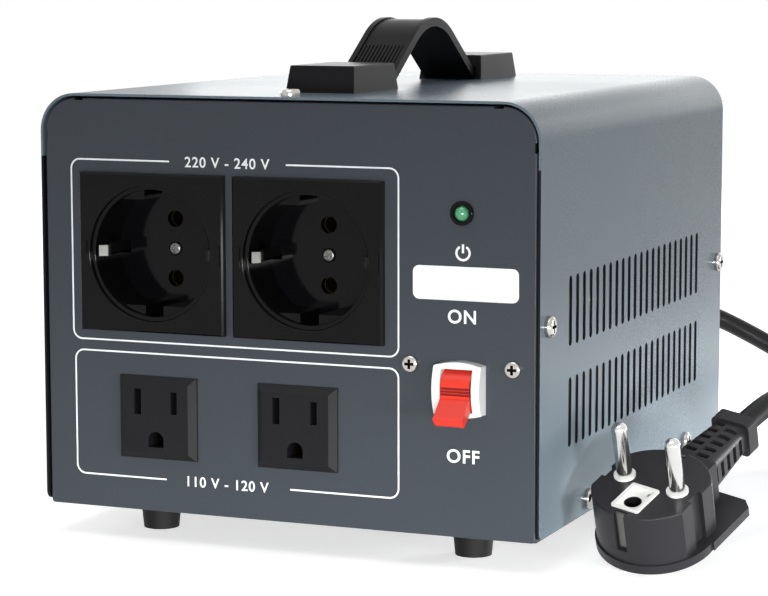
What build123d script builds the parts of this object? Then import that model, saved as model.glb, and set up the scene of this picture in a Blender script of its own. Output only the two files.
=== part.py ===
from build123d import *
import math
import os

os.makedirs("parts", exist_ok=True)

# Desk-top voltage converter: a folded steel case round a toroidal transformer, with two
# European and two American outlets, a lamp and a breaker switch on its face, a strap handle
# on top and a moulded mains lead at the back. Millimetres. X to the right, Y to the rear,
# Z up. The origin is under the middle of the object, on the surface that its feet stand on.

# Case
case_width = 168.0
case_depth = 200.0
case_height = 132.0
cover_sheet = 0.8
cover_corner_radius = 12.0
cover_foot_radius = 3.0
cover_lift = 1.0
chassis_sheet = 1.2
panel_gap = 0.7
panel_recess = 0.5
panel_edge_radius = 0.5
panel_foot_radius = 1.2
flange_depth = 14.0
flange_end_gap = 3.0
relief_width = 3.1
relief_depth = 0.7
floor_flange_height = 12.0
floor_flange_length = 150.0

# Air slots in the cover's sides
slot_count = 22
slot_rows = 2
slot_pitch = 6.65
slot_length = 21.7
slot_width = 3.1
slot_row_pitch = 31.35
slots_middle_y = -2.2
slots_middle_z = 61.5

# Pan-head screws with a cross recess: head radius, head height, shank radius, shank length
cover_screw_head = 3.3
cover_screw_height = 2.2
cover_screw_radius = 1.6
cover_screw_length = 7.0
panel_screw_head = 2.6
panel_screw_height = 1.7
panel_screw_radius = 1.4
panel_screw_length = 6.0
cross_width = 0.9
cross_depth = 1.1
cross_share = 1.15
screw_dome_share = 0.55
screw_clearance = 0.15
side_screw_y = 93.5
side_screw_z = 75.0
low_screw_y = 54.0
low_screw_z = 15.6
top_screw_y = 93.0

# Rubber feet
foot_height = 10.0
foot_top_radius = 6.75
foot_bottom_radius = 5.75
foot_x = 54.5
foot_y = 77.0
foot_recess_radius = 3.6
foot_recess_depth = 4.5
foot_screw_radius = 2.0
foot_screw_head = 3.3
foot_screw_head_height = 2.4
foot_nut_across = 7.0
foot_nut_height = 3.0
foot_screw_end = 1.2

# Strap handle
handle_y = 4.0
block_inner = 38.0
block_outer = 75.5
block_width = 23.5
block_height = 8.5
block_side_draft = 0.8
block_end_draft = 2.0
block_edge_radius = 0.6
strap_width = 18.6
strap_thickness = 3.0
strap_rise = 22.4
strap_leg_angle = 33.0
strap_crown_radius = 30.1
strap_knee_radius = 6.0
strap_foot_end = 66.0
strap_rim_width = 1.8
strap_rim_height = 0.6
strap_clearance = 0.3
mouth_bend_gap = 1.2
mouth_flare = 2.0
handle_screw_radius = 2.0
handle_screw_head = 3.8
handle_screw_head_height = 2.2
handle_screw_bite = 6.5
handle_screw_ys = (49.0, 62.0)

# European outlets
eu_edge = 39.6
eu_spacing = 53.4
eu_z = 92.4
eu_plate_width = 50.2
eu_plate_height = 50.0
eu_plate_proud = 2.5
eu_plate_chamfer = 0.5
eu_pad_width = 5.0
eu_pad_height = 6.6
eu_pad_proud = 0.35
eu_rim_radius = 21.4
eu_rim_depth = 1.1
eu_well_radius = 20.0
eu_edge_radius = 0.35
eu_well_depth = 17.5
eu_seam_turn = 90.0
eu_guide_reach = 16.7
eu_guide_gap = 6.3
eu_guide_depth = 2.6
eu_floor_sheet = 3.0
eu_barrel_radius = 22.3
eu_barrel_clearance = 0.3
eu_chamber_depth = 14.0
eu_pin_spacing = 19.0
eu_pin_hole_radius = 2.7
eu_sleeve_radius = 3.9
eu_sleeve_wall = 1.4
eu_sleeve_length = 12.0
eu_tab_width = 4.0
eu_tab_thickness = 0.8
eu_tab_length = 6.0
eu_pocket_clearance = 0.3
eu_clip_width = 3.4
eu_clip_thickness = 0.8
eu_clip_reach = 16.9
eu_clip_arm_x = 20.9
eu_clip_lip_x = 19.4
eu_clip_lip_depth = 2.2
eu_clip_nose_depth = 4.6
eu_clip_root_depth = 12.0
eu_clip_bend = 1.0
eu_clip_channel = 0.4
eu_screw_head = 2.2
eu_screw_head_height = 1.6
eu_screw_radius = 1.4
eu_screw_end = 1.5

# American outlets
us_edge = 40.9
us_spacing = 48.1
us_z = 40.2
us_width = 27.0
us_height = 26.4
us_bevel = 2.2
us_proud = 2.6
us_lip = 0.7
us_barrel_width = 24.4
us_barrel_height = 23.8
us_barrel_depth = 20.0
us_hole_clearance = 0.2
us_face_depth = 3.5
us_slot_spacing = 12.7
us_slot_rise = 5.2
us_left_slot = (2.4, 8.2)
us_right_slot = (2.2, 7.1)
us_earth_width = 5.3
us_earth_height = 5.0
us_earth_drop = 11.9
us_pocket_width = 6.4
us_pocket_height = 9.4
us_leaf_thickness = 0.6
us_leaf_height = 7.0
us_leaf_length = 13.0
us_leaf_play = 0.3
us_tab_length = 5.0

# Pilot lamp
lamp_edge = 24.9
lamp_z = 108.5
lamp_flange_radius = 3.7
lamp_flange_proud = 1.3
lamp_barrel_radius = 3.0
lamp_barrel_length = 9.0
lamp_fit = 0.05
lamp_led_radius = 2.45
lamp_led_base = 5.0
lamp_dome_proud = 1.0
lamp_leg_radius = 0.35
lamp_leg_spacing = 2.54
lamp_leg_length = 9.0
lamp_nut_across = 9.0
lamp_nut_height = 2.6
lamp_edge_radius = 0.4

# Bare name plate under the lamp
plate_edge = 23.8
plate_z = 87.4
plate_width = 33.8
plate_height = 10.2
plate_sheet = 0.3
plate_corner = 2.0

# Breaker switch
switch_edge = 25.0
switch_z = 55.6
nose_width = 15.2
nose_side_height = 14.7
nose_arch = 1.1
nose_side_proud = 3.2
nose_middle_proud = 5.6
nose_clearance = 0.2
lever_width = 9.4
lever_slot_height = 13.0
lever_side_clearance = 0.3
lever_drum_radius = 6.4
lever_drum_clearance = 0.35
lever_reach = 15.0
lever_root_thickness = 3.8
lever_tip_thickness = 3.2
lever_rest_angle = 38.0
lever_groove_width = 0.7
lever_groove_depth = 0.5
lever_groove_angles = (-8.0, 0.0, 8.0)
lever_corner_radius = 1.2
pivot_radius = 1.5
pivot_clearance = 0.05
switch_body_height = 44.0
switch_body_depth = 34.0
switch_wall = 2.2
arm_pivot_depth = 15.0
arm_pivot_drop = 7.0
arm_width = 5.0
arm_length = 15.0
arm_thickness = 2.4
arm_boss_radius = 3.2
arm_contact_radius = 2.2
arm_contact_height = 1.2
arm_swing = 10.0
arm_pin_radius = 1.2
contact_gap = 0.5
fixed_contact_sheet = 1.5
fixed_contact_width = 6.0
terminal_size = 8.0
terminal_depth = 12.0
terminal_clearance = 0.3
terminal_wire_radius = 1.7
terminal_screw_radius = 1.8
terminal_screw_head = 2.6
terminal_screw_head_height = 1.6
bracket_screw_reach = 16.45
bracket_screw_z = 62.4
bracket_sheet = 1.2
bracket_height = 12.0
bracket_end = 5.0
bracket_bend = 1.2
bracket_gap = 0.2

# Toroidal transformer
toroid_y = 16.0
toroid_radius = 66.0
toroid_bore = 22.0
toroid_height = 64.0
toroid_edge_radius = 8.0
toroid_wrap = 8.0
core_clearance = 0.3
lead_gap_angle = 24.0
lead_gap_turn = -36.0
pad_radius = 42.0
pad_thickness = 2.0
dish_radius = 40.0
dish_sheet = 2.5
dish_lip = 2.0
bolt_radius = 4.0
bolt_clearance = 0.2
bolt_head_across = 13.0
bolt_head_height = 5.0
bolt_end = 3.0
nut_height = 6.5
washer_radius = 8.0
washer_sheet = 1.6
cutout_radius = 50.0
cutout_turn = 60.0
cutout_length = 18.0
cutout_width = 11.0
cutout_height = 5.0

# Terminal block and earth stud on the floor
block_edge = 13.8
block_y = -46.0
block_size = (18.0, 12.6, 14.0)
block_way_pitch = 8.6
block_bore_radius = 1.8
block_screw_radius = 1.5
block_screw_head = 2.3
block_screw_head_height = 1.5
block_screw_recess = 2.0
block_mount_radius = 1.4
block_mount_head = 1.75
block_mount_end = 1.5
stud_x = 12.0
stud_y = 84.0
stud_radius = 2.0
stud_length = 13.0
stud_head_across = 7.0
stud_head_height = 2.8
stud_nut_height = 3.2
lug_radius = 4.2
lug_sheet = 1.0
lug_length = 14.0
lug_width = 4.0
lead_out_angle = -48.0

# Insulated wires inside the case, and how far apart two of them end on one tab
wire_radius = 1.25
wire_bend = 6.0
wire_pair = 2.8
wire_end_gap = 0.3
wire_bite = 1.3
core_spread = 5.6
core_rise = 3.3
tail_reach = 12.0
strip_tap_reach = 9.5
riser_shift = 1.6

# Lanes of the wires: depths behind the panel's face, depths before the gland's end, heights
# of the winding's ends, how far these go straight out, and the loops of the jumpers
us_live_lane = 37.5
floor_lane = 39.5
switch_lane = 40.5
earth_lane = 41.5
jump_lane = 44.5
eu_lane = 47.5
feed_lane = 49.5
live_turn_back = 9.5
neutral_turn_back = 12.5
tap_levels = (60.0, 52.0, 42.0, 34.0, 26.0)
tap_long_reach = 17.1
tap_middle_reach = 16.0
tap_short_reach = 11.5
neutral_riser_gap = 17.0
neutral_shift_start = 21.0
neutral_shift_end = 13.0
earth_crossing_rise = 19.6
eu_loop = 7.0
us_live_loop = 8.5
us_neutral_loop = 6.5
us_earth_loop = 7.5
strip_loop = 8.5

# Mains lead
cord_radius = 3.6
gland_x = 35.0
gland_z = 54.0
gland_hole_radius = 7.6
gland_thread_radius = 7.4
gland_hex_across = 21.0
gland_hex_height = 5.0
gland_dome_radius = 9.0
gland_dome_height = 6.6
gland_inside = 9.0
gland_nut_across = 20.0
gland_nut_height = 4.0
sleeve_root_radius = 6.6
sleeve_tip_radius = 4.8
sleeve_length = 20.0
sleeve_rib = 0.5
sleeve_ribs = 5

# Put-away coil of the lead
coil_x = 158.0
coil_y = 100.0
coil_outer_radius = 47.8
coil_step = 7.8
coil_start_angle = 65.0
coil_end_angle = 315.0
coil_whole_turns = 5
coil_climb_turns = 0.5
coil_stations_per_turn = 4
coil_samples_per_turn = 72
coil_run_in = 20.0
coil_run_out = 14.5
plug_run_out = 16.5

# Angled plug of the lead: two pins, side clips and a socket for an earth pin
plug_face_x = 111.0
plug_face_y = -75.0
plug_heading = 38.0
plug_tilt = 25.0
plug_lean = 20.0
view_heading = 22.2
plug_radius = 18.3
plug_flat_reach = 16.4
plug_groove_width = 5.6
plug_groove_depth = 1.5
plug_body_height = 17.0
plug_base_sheet = 3.0
plug_base_radius = 18.9
plug_base_start = 2.0
plug_base_reach = 25.0
plug_base_width = 38.8
plug_base_corner = 3.0
plug_edge_radius = 0.5
plug_neck_width = 18.0
plug_neck_reach = 22.0
plug_neck_top = 3.5
plug_pin_radius = 2.4
plug_pin_length = 19.0
plug_pin_root = 8.0
plug_pin_neck_radius = 2.0
plug_pin_shoulder = 1.1
plug_pin_tip_share = 0.8
plug_collar_radius = 3.4
plug_collar_height = 0.8
plug_clip_reach = 17.2
plug_clip_width = 3.2
plug_clip_thickness = 0.8
plug_clip_length = 13.0
plug_clip_play = 0.15
plug_slot_width = 3.8
insert_length = 12.6
insert_width = 9.8
insert_outer = 14.9
insert_depth = 4.0
insert_proud = 0.5
insert_hole_offset = 10.0
insert_hole_radius = 2.6
insert_hole_step = 0.3
insert_hole_depth = 15.0
insert_rim = 1.3
insert_recess = 0.8
insert_corner = 0.8
insert_notch = (1.6, 0.9)
insert_notch_place = (-4.9, -2.4)
insert_notch_depth = 1.0
relief_length = 27.0
relief_root = (15.0, 13.0)
relief_tip = (11.5, 10.5)
relief_corner = 3.4
relief_collar = (13.6, 12.2, 5.0)
relief_collar_corner = 2.0
relief_slot_count = 5
relief_slot_width = 1.9
relief_slot_inset = (4.9, 4.5)
relief_top_slot = (4.2, 2.8)
relief_side_slot = 5.6

# Small common values: a cut's overrun, the least Z share of an upright edge's direction,
# the share of a run that a corner's bend may take, a small part of a turn
overrun = 1.0
steep_share = 0.5
bend_share = 0.45
turn_step = 0.001

# Levels and faces worked out from the driving dimensions
front_y = -case_depth / 2
rear_y = case_depth / 2
panel_y = front_y + panel_recess
back_y = rear_y - panel_recess
floor_z = foot_height
floor_top_z = floor_z + chassis_sheet
cover_low_z = floor_z + cover_lift
cover_top_z = floor_z + case_height
cover_under_z = cover_top_z - cover_sheet
panel_half = case_width / 2 - cover_sheet - panel_gap
panel_top_z = cover_under_z - panel_gap
panel_corner = cover_corner_radius - cover_sheet - panel_gap
mirror_x = (-1, 1)
eu_x = (eu_edge - case_width / 2, eu_edge + eu_spacing - case_width / 2)
us_x = (us_edge - case_width / 2, us_edge + us_spacing - case_width / 2)
lamp_x = case_width / 2 - lamp_edge
plate_x = case_width / 2 - plate_edge
switch_x = case_width / 2 - switch_edge
bracket_screw_x = (switch_x - bracket_screw_reach, switch_x + bracket_screw_reach)
block_x = case_width / 2 - block_edge


def behind(depth):
    """The upright plane a depth behind the front panel's face, looking forwards."""
    return Plane.XZ.offset(-(panel_y + depth))


def save(solid, name):
    """Labels one finished piece and writes it out."""
    solid.label = name
    export_step(solid, f"parts/{name}.step")


def cross_screw(head, height, radius, length):
    """A pan-head screw at the origin: the head stands up in +Z, the shank runs down."""
    with BuildPart() as screw:
        Cylinder(head, height, align=(Align.CENTER, Align.CENTER, Align.MIN))
        top = screw.edges().filter_by(GeomType.CIRCLE).sort_by(Axis.Z)[-1]
        fillet(top, min(height, head) * screw_dome_share)
        Cylinder(radius, length, align=(Align.CENTER, Align.CENTER, Align.MAX))
        with BuildSketch(Plane.XY.offset(height)):
            Rectangle(head * cross_share, cross_width)
            Rectangle(cross_width, head * cross_share)
        extrude(amount=-cross_depth, mode=Mode.SUBTRACT)
    return screw.part


def hex_nut(across, height, bore):
    """A hexagonal nut that stands on Z = 0."""
    with BuildPart() as nut:
        with BuildSketch():
            RegularPolygon(across / math.sqrt(3), 6)
            Circle(bore, mode=Mode.SUBTRACT)
        extrude(amount=height)
    return nut.part


def turned_ring(outer, inner, height, base):
    """A flat ring that stands on the plane base."""
    with BuildPart() as ring:
        with BuildSketch(base):
            Circle(outer)
            Circle(inner, mode=Mode.SUBTRACT)
        extrude(amount=height)
    return ring.part


def wire(points, bend):
    """One insulated wire along straight runs that tangent bends join."""
    start, second = Vector(*points[0]), Vector(*points[1])
    with BuildPart() as lead:
        with BuildLine() as way:
            FilletPolyline(*points, radius=bend)
        with BuildSketch(Plane(origin=start, z_dir=second - start)):
            Circle(wire_radius)
        sweep(path=way.wire())
    return lead.part


# Cover: one sheet bent over the top, with two rows of air slots in each side
with BuildPart() as cover:
    with BuildSketch(Plane.XZ.offset(-front_y)):
        with Locations((0, cover_low_z)):
            Rectangle(case_width, cover_top_z - cover_low_z, align=(Align.CENTER, Align.MIN))
        upper = cover_corner_radius
        fillet(vertices().group_by(Axis.Y)[-1], upper)
    extrude(amount=-case_depth)
    with BuildSketch(Plane.XZ.offset(-front_y)):
        with Locations((0, cover_low_z - overrun)):
            inner_width = case_width - 2 * cover_sheet
            inner_height = cover_under_z - cover_low_z + overrun
            Rectangle(inner_width, inner_height, align=(Align.CENTER, Align.MIN))
        fillet(vertices().group_by(Axis.Y)[-1], cover_corner_radius - cover_sheet)
    extrude(amount=-case_depth, mode=Mode.SUBTRACT)
    lower_corners = cover.edges().filter_by(Axis.X).group_by(Axis.Z)[0]
    lower_corners = lower_corners.filter_by(lambda edge: edge.length < 2 * cover_sheet)
    fillet(lower_corners, cover_foot_radius)
    with BuildSketch(Plane.YZ):
        with Locations((slots_middle_y, slots_middle_z)):
            with GridLocations(slot_pitch, slot_row_pitch, slot_count, slot_rows):
                SlotOverall(slot_length, slot_width, rotation=90)
    extrude(amount=case_width, both=True, mode=Mode.SUBTRACT)
    with BuildSketch(Plane.YZ):
        with Locations((-side_screw_y, side_screw_z), (side_screw_y, side_screw_z)):
            Circle(cover_screw_radius + screw_clearance)
        with Locations((-low_screw_y, low_screw_z), (low_screw_y, low_screw_z)):
            Circle(cover_screw_radius + screw_clearance)
    extrude(amount=case_width, both=True, mode=Mode.SUBTRACT)
    with BuildSketch(Plane.XY.offset(cover_top_z)):
        with Locations((0, -top_screw_y), (0, top_screw_y)):
            Circle(cover_screw_radius + screw_clearance)
        for side in mirror_x:
            with Locations(*[(0, handle_y + side * y) for y in handle_screw_ys]):
                Circle(handle_screw_radius + screw_clearance)
    extrude(amount=-2 * cover_sheet, mode=Mode.SUBTRACT)
save(cover.part, "cover")

# Outline of the nose of the switch, which the front panel repeats with a clearance
nose_middle_height = nose_side_height + 2 * nose_arch


def nose_outline(grow):
    """The nose's outline: straight sides, top and bottom arched outwards."""
    half_w = nose_width / 2 + grow
    half_side = nose_side_height / 2 + grow
    half_mid = nose_middle_height / 2 + grow
    with BuildSketch() as outline:
        with BuildLine():
            Line((-half_w, -half_side), (-half_w, half_side))
            ThreePointArc((-half_w, half_side), (0, half_mid), (half_w, half_side))
            Line((half_w, half_side), (half_w, -half_side))
            ThreePointArc((half_w, -half_side), (0, -half_mid), (-half_w, -half_side))
        make_face()
    return outline.sketch


# Chassis: front panel, floor and rear panel folded from one sheet, with screw flanges
with BuildPart() as chassis:
    for face_y, inward in ((panel_y, -1), (back_y, 1)):
        with BuildSketch(Plane.XZ.offset(-face_y)):
            with Locations((0, floor_z)):
                panel_size = (2 * panel_half, panel_top_z - floor_z)
                Rectangle(*panel_size, align=(Align.CENTER, Align.MIN))
            fillet(vertices().group_by(Axis.Y)[-1], panel_corner)
            fillet(vertices().group_by(Axis.Y)[0], panel_foot_radius)
        extrude(amount=inward * chassis_sheet)
    outer_faces = chassis.faces().filter_by(Axis.Y).group_by(Axis.Y)
    for outer in (outer_faces[0][0], outer_faces[-1][0]):
        fillet(outer.outer_wire().edges(), panel_edge_radius)
    with BuildSketch(Plane.XY.offset(floor_z)):
        Rectangle(2 * panel_half, back_y - panel_y - 2 * panel_foot_radius)
    extrude(amount=chassis_sheet)
    for side in mirror_x:
        side_x = side * (panel_half - chassis_sheet / 2)
        side_low = floor_z + flange_end_gap
        side_high = panel_top_z - panel_corner - relief_width
        flange_middle = panel_edge_radius + flange_depth / 2
        for end_y in (panel_y + flange_middle, back_y - flange_middle):
            with BuildSketch(Plane.XY.offset(side_low)):
                with Locations((side_x, end_y)):
                    Rectangle(chassis_sheet, flange_depth)
            extrude(amount=side_high - side_low)
        with BuildSketch(Plane.XY.offset(floor_z)):
            with Locations((side_x, 0)):
                Rectangle(chassis_sheet, floor_flange_length)
        extrude(amount=floor_flange_height)
    top_flange_width = 2 * (panel_half - panel_corner - relief_width)
    for end_y in (panel_y + flange_middle, back_y - flange_middle):
        with BuildSketch(Plane.XY.offset(panel_top_z)):
            with Locations((0, end_y)):
                Rectangle(top_flange_width, flange_depth)
        extrude(amount=-chassis_sheet)
    notch_x = panel_half - panel_corner - relief_width / 2
    notch_z = panel_top_z - panel_corner - relief_width / 2
    with BuildSketch(Plane.XZ.offset(-panel_y)):
        with Locations((-notch_x, panel_top_z), (notch_x, panel_top_z)):
            Rectangle(relief_width, 2 * relief_depth)
        with Locations((-panel_half, notch_z), (panel_half, notch_z)):
            Rectangle(2 * relief_depth, relief_width)
    extrude(amount=chassis_sheet, both=True, mode=Mode.SUBTRACT)
    with BuildSketch(Plane.XZ.offset(-panel_y)):
        with Locations(*[(x, eu_z) for x in eu_x]):
            Circle(eu_barrel_radius + eu_barrel_clearance)
        with Locations(*[(x, us_z) for x in us_x]):
            hole_width = us_barrel_width + 2 * us_hole_clearance
            Rectangle(hole_width, us_barrel_height + 2 * us_hole_clearance)
        with Locations((lamp_x, lamp_z)):
            Circle(lamp_barrel_radius + lamp_fit)
        with Locations(*[(x, bracket_screw_z) for x in bracket_screw_x]):
            Circle(panel_screw_radius + screw_clearance)
    extrude(amount=chassis_sheet, both=True, mode=Mode.SUBTRACT)
    with BuildSketch(Plane(origin=(switch_x, panel_y, switch_z), x_dir=(1, 0, 0), z_dir=(0, -1, 0))):
        add(nose_outline(nose_clearance))
    extrude(amount=chassis_sheet, both=True, mode=Mode.SUBTRACT)
    with BuildSketch(Plane.XZ.offset(-back_y)):
        with Locations((gland_x, gland_z)):
            Circle(gland_hole_radius)
    extrude(amount=chassis_sheet, both=True, mode=Mode.SUBTRACT)
    with BuildSketch(Plane.YZ):
        with Locations((-side_screw_y, side_screw_z), (side_screw_y, side_screw_z)):
            Circle(cover_screw_radius)
        with Locations((-low_screw_y, low_screw_z), (low_screw_y, low_screw_z)):
            Circle(cover_screw_radius)
    extrude(amount=case_width, both=True, mode=Mode.SUBTRACT)
    with BuildSketch(Plane.XY.offset(panel_top_z)):
        with Locations((0, -top_screw_y), (0, top_screw_y)):
            Circle(cover_screw_radius)
    extrude(amount=chassis_sheet, both=True, mode=Mode.SUBTRACT)
    with BuildSketch(Plane.XY.offset(floor_z)):
        with GridLocations(2 * foot_x, 2 * foot_y, 2, 2):
            Circle(foot_screw_radius + screw_clearance)
        with Locations((0, toroid_y)):
            Circle(bolt_radius + bolt_clearance)
        with Locations((stud_x, stud_y)):
            Circle(stud_radius + pivot_clearance)
        with Locations((block_x, block_y)):
            Circle(block_mount_radius)
    extrude(amount=chassis_sheet, both=True, mode=Mode.SUBTRACT)
save(chassis.part, "chassis")

# Cover screws: nickel-plated, four in each side, two in the top
cover_screw = cross_screw(cover_screw_head, cover_screw_height, cover_screw_radius, cover_screw_length)
side_places = [(y, side_screw_z) for y in (-side_screw_y, side_screw_y)]
side_places += [(y, low_screw_z) for y in (-low_screw_y, low_screw_y)]
with BuildPart() as cover_screws:
    for side in mirror_x:
        for y, z in side_places:
            seat = Plane(origin=(side * case_width / 2, y, z), x_dir=(0, 1, 0), z_dir=(side, 0, 0))
            with Locations(seat):
                add(cover_screw)
    with Locations((0, -top_screw_y, cover_top_z), (0, top_screw_y, cover_top_z)):
        add(cover_screw)
save(cover_screws.part, "cover_screws")

# Feet: tapered rubber, each with a recess for its screw
foot_places = [(x, y) for x in (-foot_x, foot_x) for y in (-foot_y, foot_y)]
with BuildPart() as foot:
    with BuildSketch():
        Circle(foot_bottom_radius)
    with BuildSketch(Plane.XY.offset(foot_height)):
        Circle(foot_top_radius)
    loft(ruled=True)
    with BuildSketch():
        Circle(foot_recess_radius)
    extrude(amount=foot_recess_depth, mode=Mode.SUBTRACT)
    with BuildSketch():
        Circle(foot_screw_radius + screw_clearance)
    extrude(amount=foot_height, mode=Mode.SUBTRACT)
with BuildPart() as feet:
    with Locations(*foot_places):
        add(foot.part)
save(feet.part, "feet")
foot_shank = foot_height - foot_recess_depth + chassis_sheet + foot_nut_height + foot_screw_end
foot_screw = cross_screw(foot_screw_head, foot_screw_head_height, foot_screw_radius, foot_shank)
with BuildPart() as foot_screws:
    for x, y in foot_places:
        with Locations(Plane(origin=(x, y, foot_recess_depth), z_dir=(0, 0, -1))):
            add(foot_screw)
save(foot_screws.part, "foot_screws")
with BuildPart() as foot_nuts:
    with Locations(*[(x, y, floor_top_z) for x, y in foot_places]):
        add(hex_nut(foot_nut_across, foot_nut_height, foot_screw_radius + screw_clearance))
save(foot_nuts.part, "foot_nuts")

# Handle strap: a moulded arch whose flat ends lie under the two blocks
leg_slope = math.tan(math.radians(strap_leg_angle))
crown_mid_z = strap_rise - strap_thickness / 2
apex_rise = strap_crown_radius * (1 / math.cos(math.radians(strap_leg_angle)) - 1)
apex_z = crown_mid_z + apex_rise
knee_y = (apex_z - strap_thickness / 2) / leg_slope
strap_line = Plane(origin=(0, handle_y, cover_top_z), x_dir=(0, 1, 0), z_dir=(1, 0, 0))
with BuildPart() as handle_strap:
    with BuildLine(strap_line) as strap_way:
        FilletPolyline(
            (-strap_foot_end, strap_thickness / 2),
            (-knee_y, strap_thickness / 2),
            (0, apex_z),
            (knee_y, strap_thickness / 2),
            (strap_foot_end, strap_thickness / 2),
            radius=[strap_knee_radius, strap_crown_radius, strap_knee_radius],
        )
    strap_start = Vector(0, handle_y - strap_foot_end, cover_top_z + strap_thickness / 2)
    with BuildSketch(Plane(origin=strap_start, x_dir=(-1, 0, 0), z_dir=(0, 1, 0))):
        Rectangle(strap_width, strap_thickness)
        valley = strap_width - 2 * strap_rim_width
        with Locations((0, strap_thickness / 2)):
            Rectangle(valley, 2 * strap_rim_height, mode=Mode.SUBTRACT)
    sweep(path=strap_way.wire())
    with BuildSketch(Plane.XY.offset(cover_top_z)):
        for side in mirror_x:
            with Locations(*[(0, handle_y + side * y) for y in handle_screw_ys]):
                Circle(handle_screw_radius + screw_clearance)
    extrude(amount=strap_thickness, mode=Mode.SUBTRACT)
save(handle_strap.part, "handle_strap")

# Handle blocks: tapered caps that press the strap's ends on the cover
block_length = block_outer - block_inner
mouth_roof = strap_thickness + strap_clearance
mouth_rise = (block_end_draft + strap_clearance) * leg_slope * mouth_flare
for side, block_name in zip(mirror_x, ("handle_block_front", "handle_block_rear")):
    middle_y = handle_y + side * (block_inner + block_outer) / 2
    with BuildPart() as block:
        with BuildSketch(Plane(origin=(0, middle_y, cover_top_z))):
            Rectangle(block_width, block_length)
        with BuildSketch(Plane(origin=(0, middle_y, cover_top_z + block_height))):
            Rectangle(block_width - 2 * block_side_draft, block_length - 2 * block_end_draft)
        loft(ruled=True)
        rim = block.faces().sort_by(Axis.Z)[-1]
        corners = block.edges().filter_by(lambda edge: abs(edge.tangent_at(0).Z) > steep_share)
        fillet(rim.edges() + corners, block_edge_radius)
        pocket = Plane(origin=(0, handle_y, cover_top_z), x_dir=(0, side, 0), z_dir=(side, 0, 0))
        with BuildSketch(pocket):
            pocket_end = strap_foot_end + strap_clearance
            bend_start = knee_y + mouth_bend_gap
            with BuildLine():
                Polyline(
                    (block_inner - overrun, 0),
                    (pocket_end, 0),
                    (pocket_end, mouth_roof),
                    (bend_start, mouth_roof),
                    (block_inner - overrun, mouth_roof + mouth_rise),
                    close=True,
                )
            make_face()
        extrude(amount=strap_width / 2 + strap_clearance, both=True, mode=Mode.SUBTRACT)
        with BuildSketch(Plane.XY.offset(cover_top_z)):
            with Locations(*[(0, handle_y + side * y) for y in handle_screw_ys]):
                Circle(handle_screw_radius)
        extrude(amount=handle_screw_bite, mode=Mode.SUBTRACT)
    save(block.part, block_name)
handle_shank = cover_sheet + handle_screw_bite - strap_clearance
handle_screw = cross_screw(
    handle_screw_head, handle_screw_head_height, handle_screw_radius, handle_shank
)
with BuildPart() as handle_screws:
    for side in mirror_x:
        for y in handle_screw_ys:
            seat = Plane(origin=(0, handle_y + side * y, cover_under_z), z_dir=(0, 0, -1))
            with Locations(seat):
                add(handle_screw)
save(handle_screws.part, "handle_screws")

# European outlets: plate, round well with guide flats, pin holes, side clips, centre screw
eu_floor_depth = eu_well_depth - eu_plate_proud
eu_floor_back = eu_floor_depth + eu_floor_sheet
eu_back_depth = eu_floor_back + eu_chamber_depth
eu_strip_depth = eu_back_depth + eu_clip_thickness / 2
eu_recess = eu_screw_head_height / 2


def eu_spot(x, depth):
    """The plane of one European outlet at a depth behind the panel's face."""
    return Plane(origin=(x, panel_y + depth, eu_z), x_dir=(1, 0, 0), z_dir=(0, -1, 0))


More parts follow.
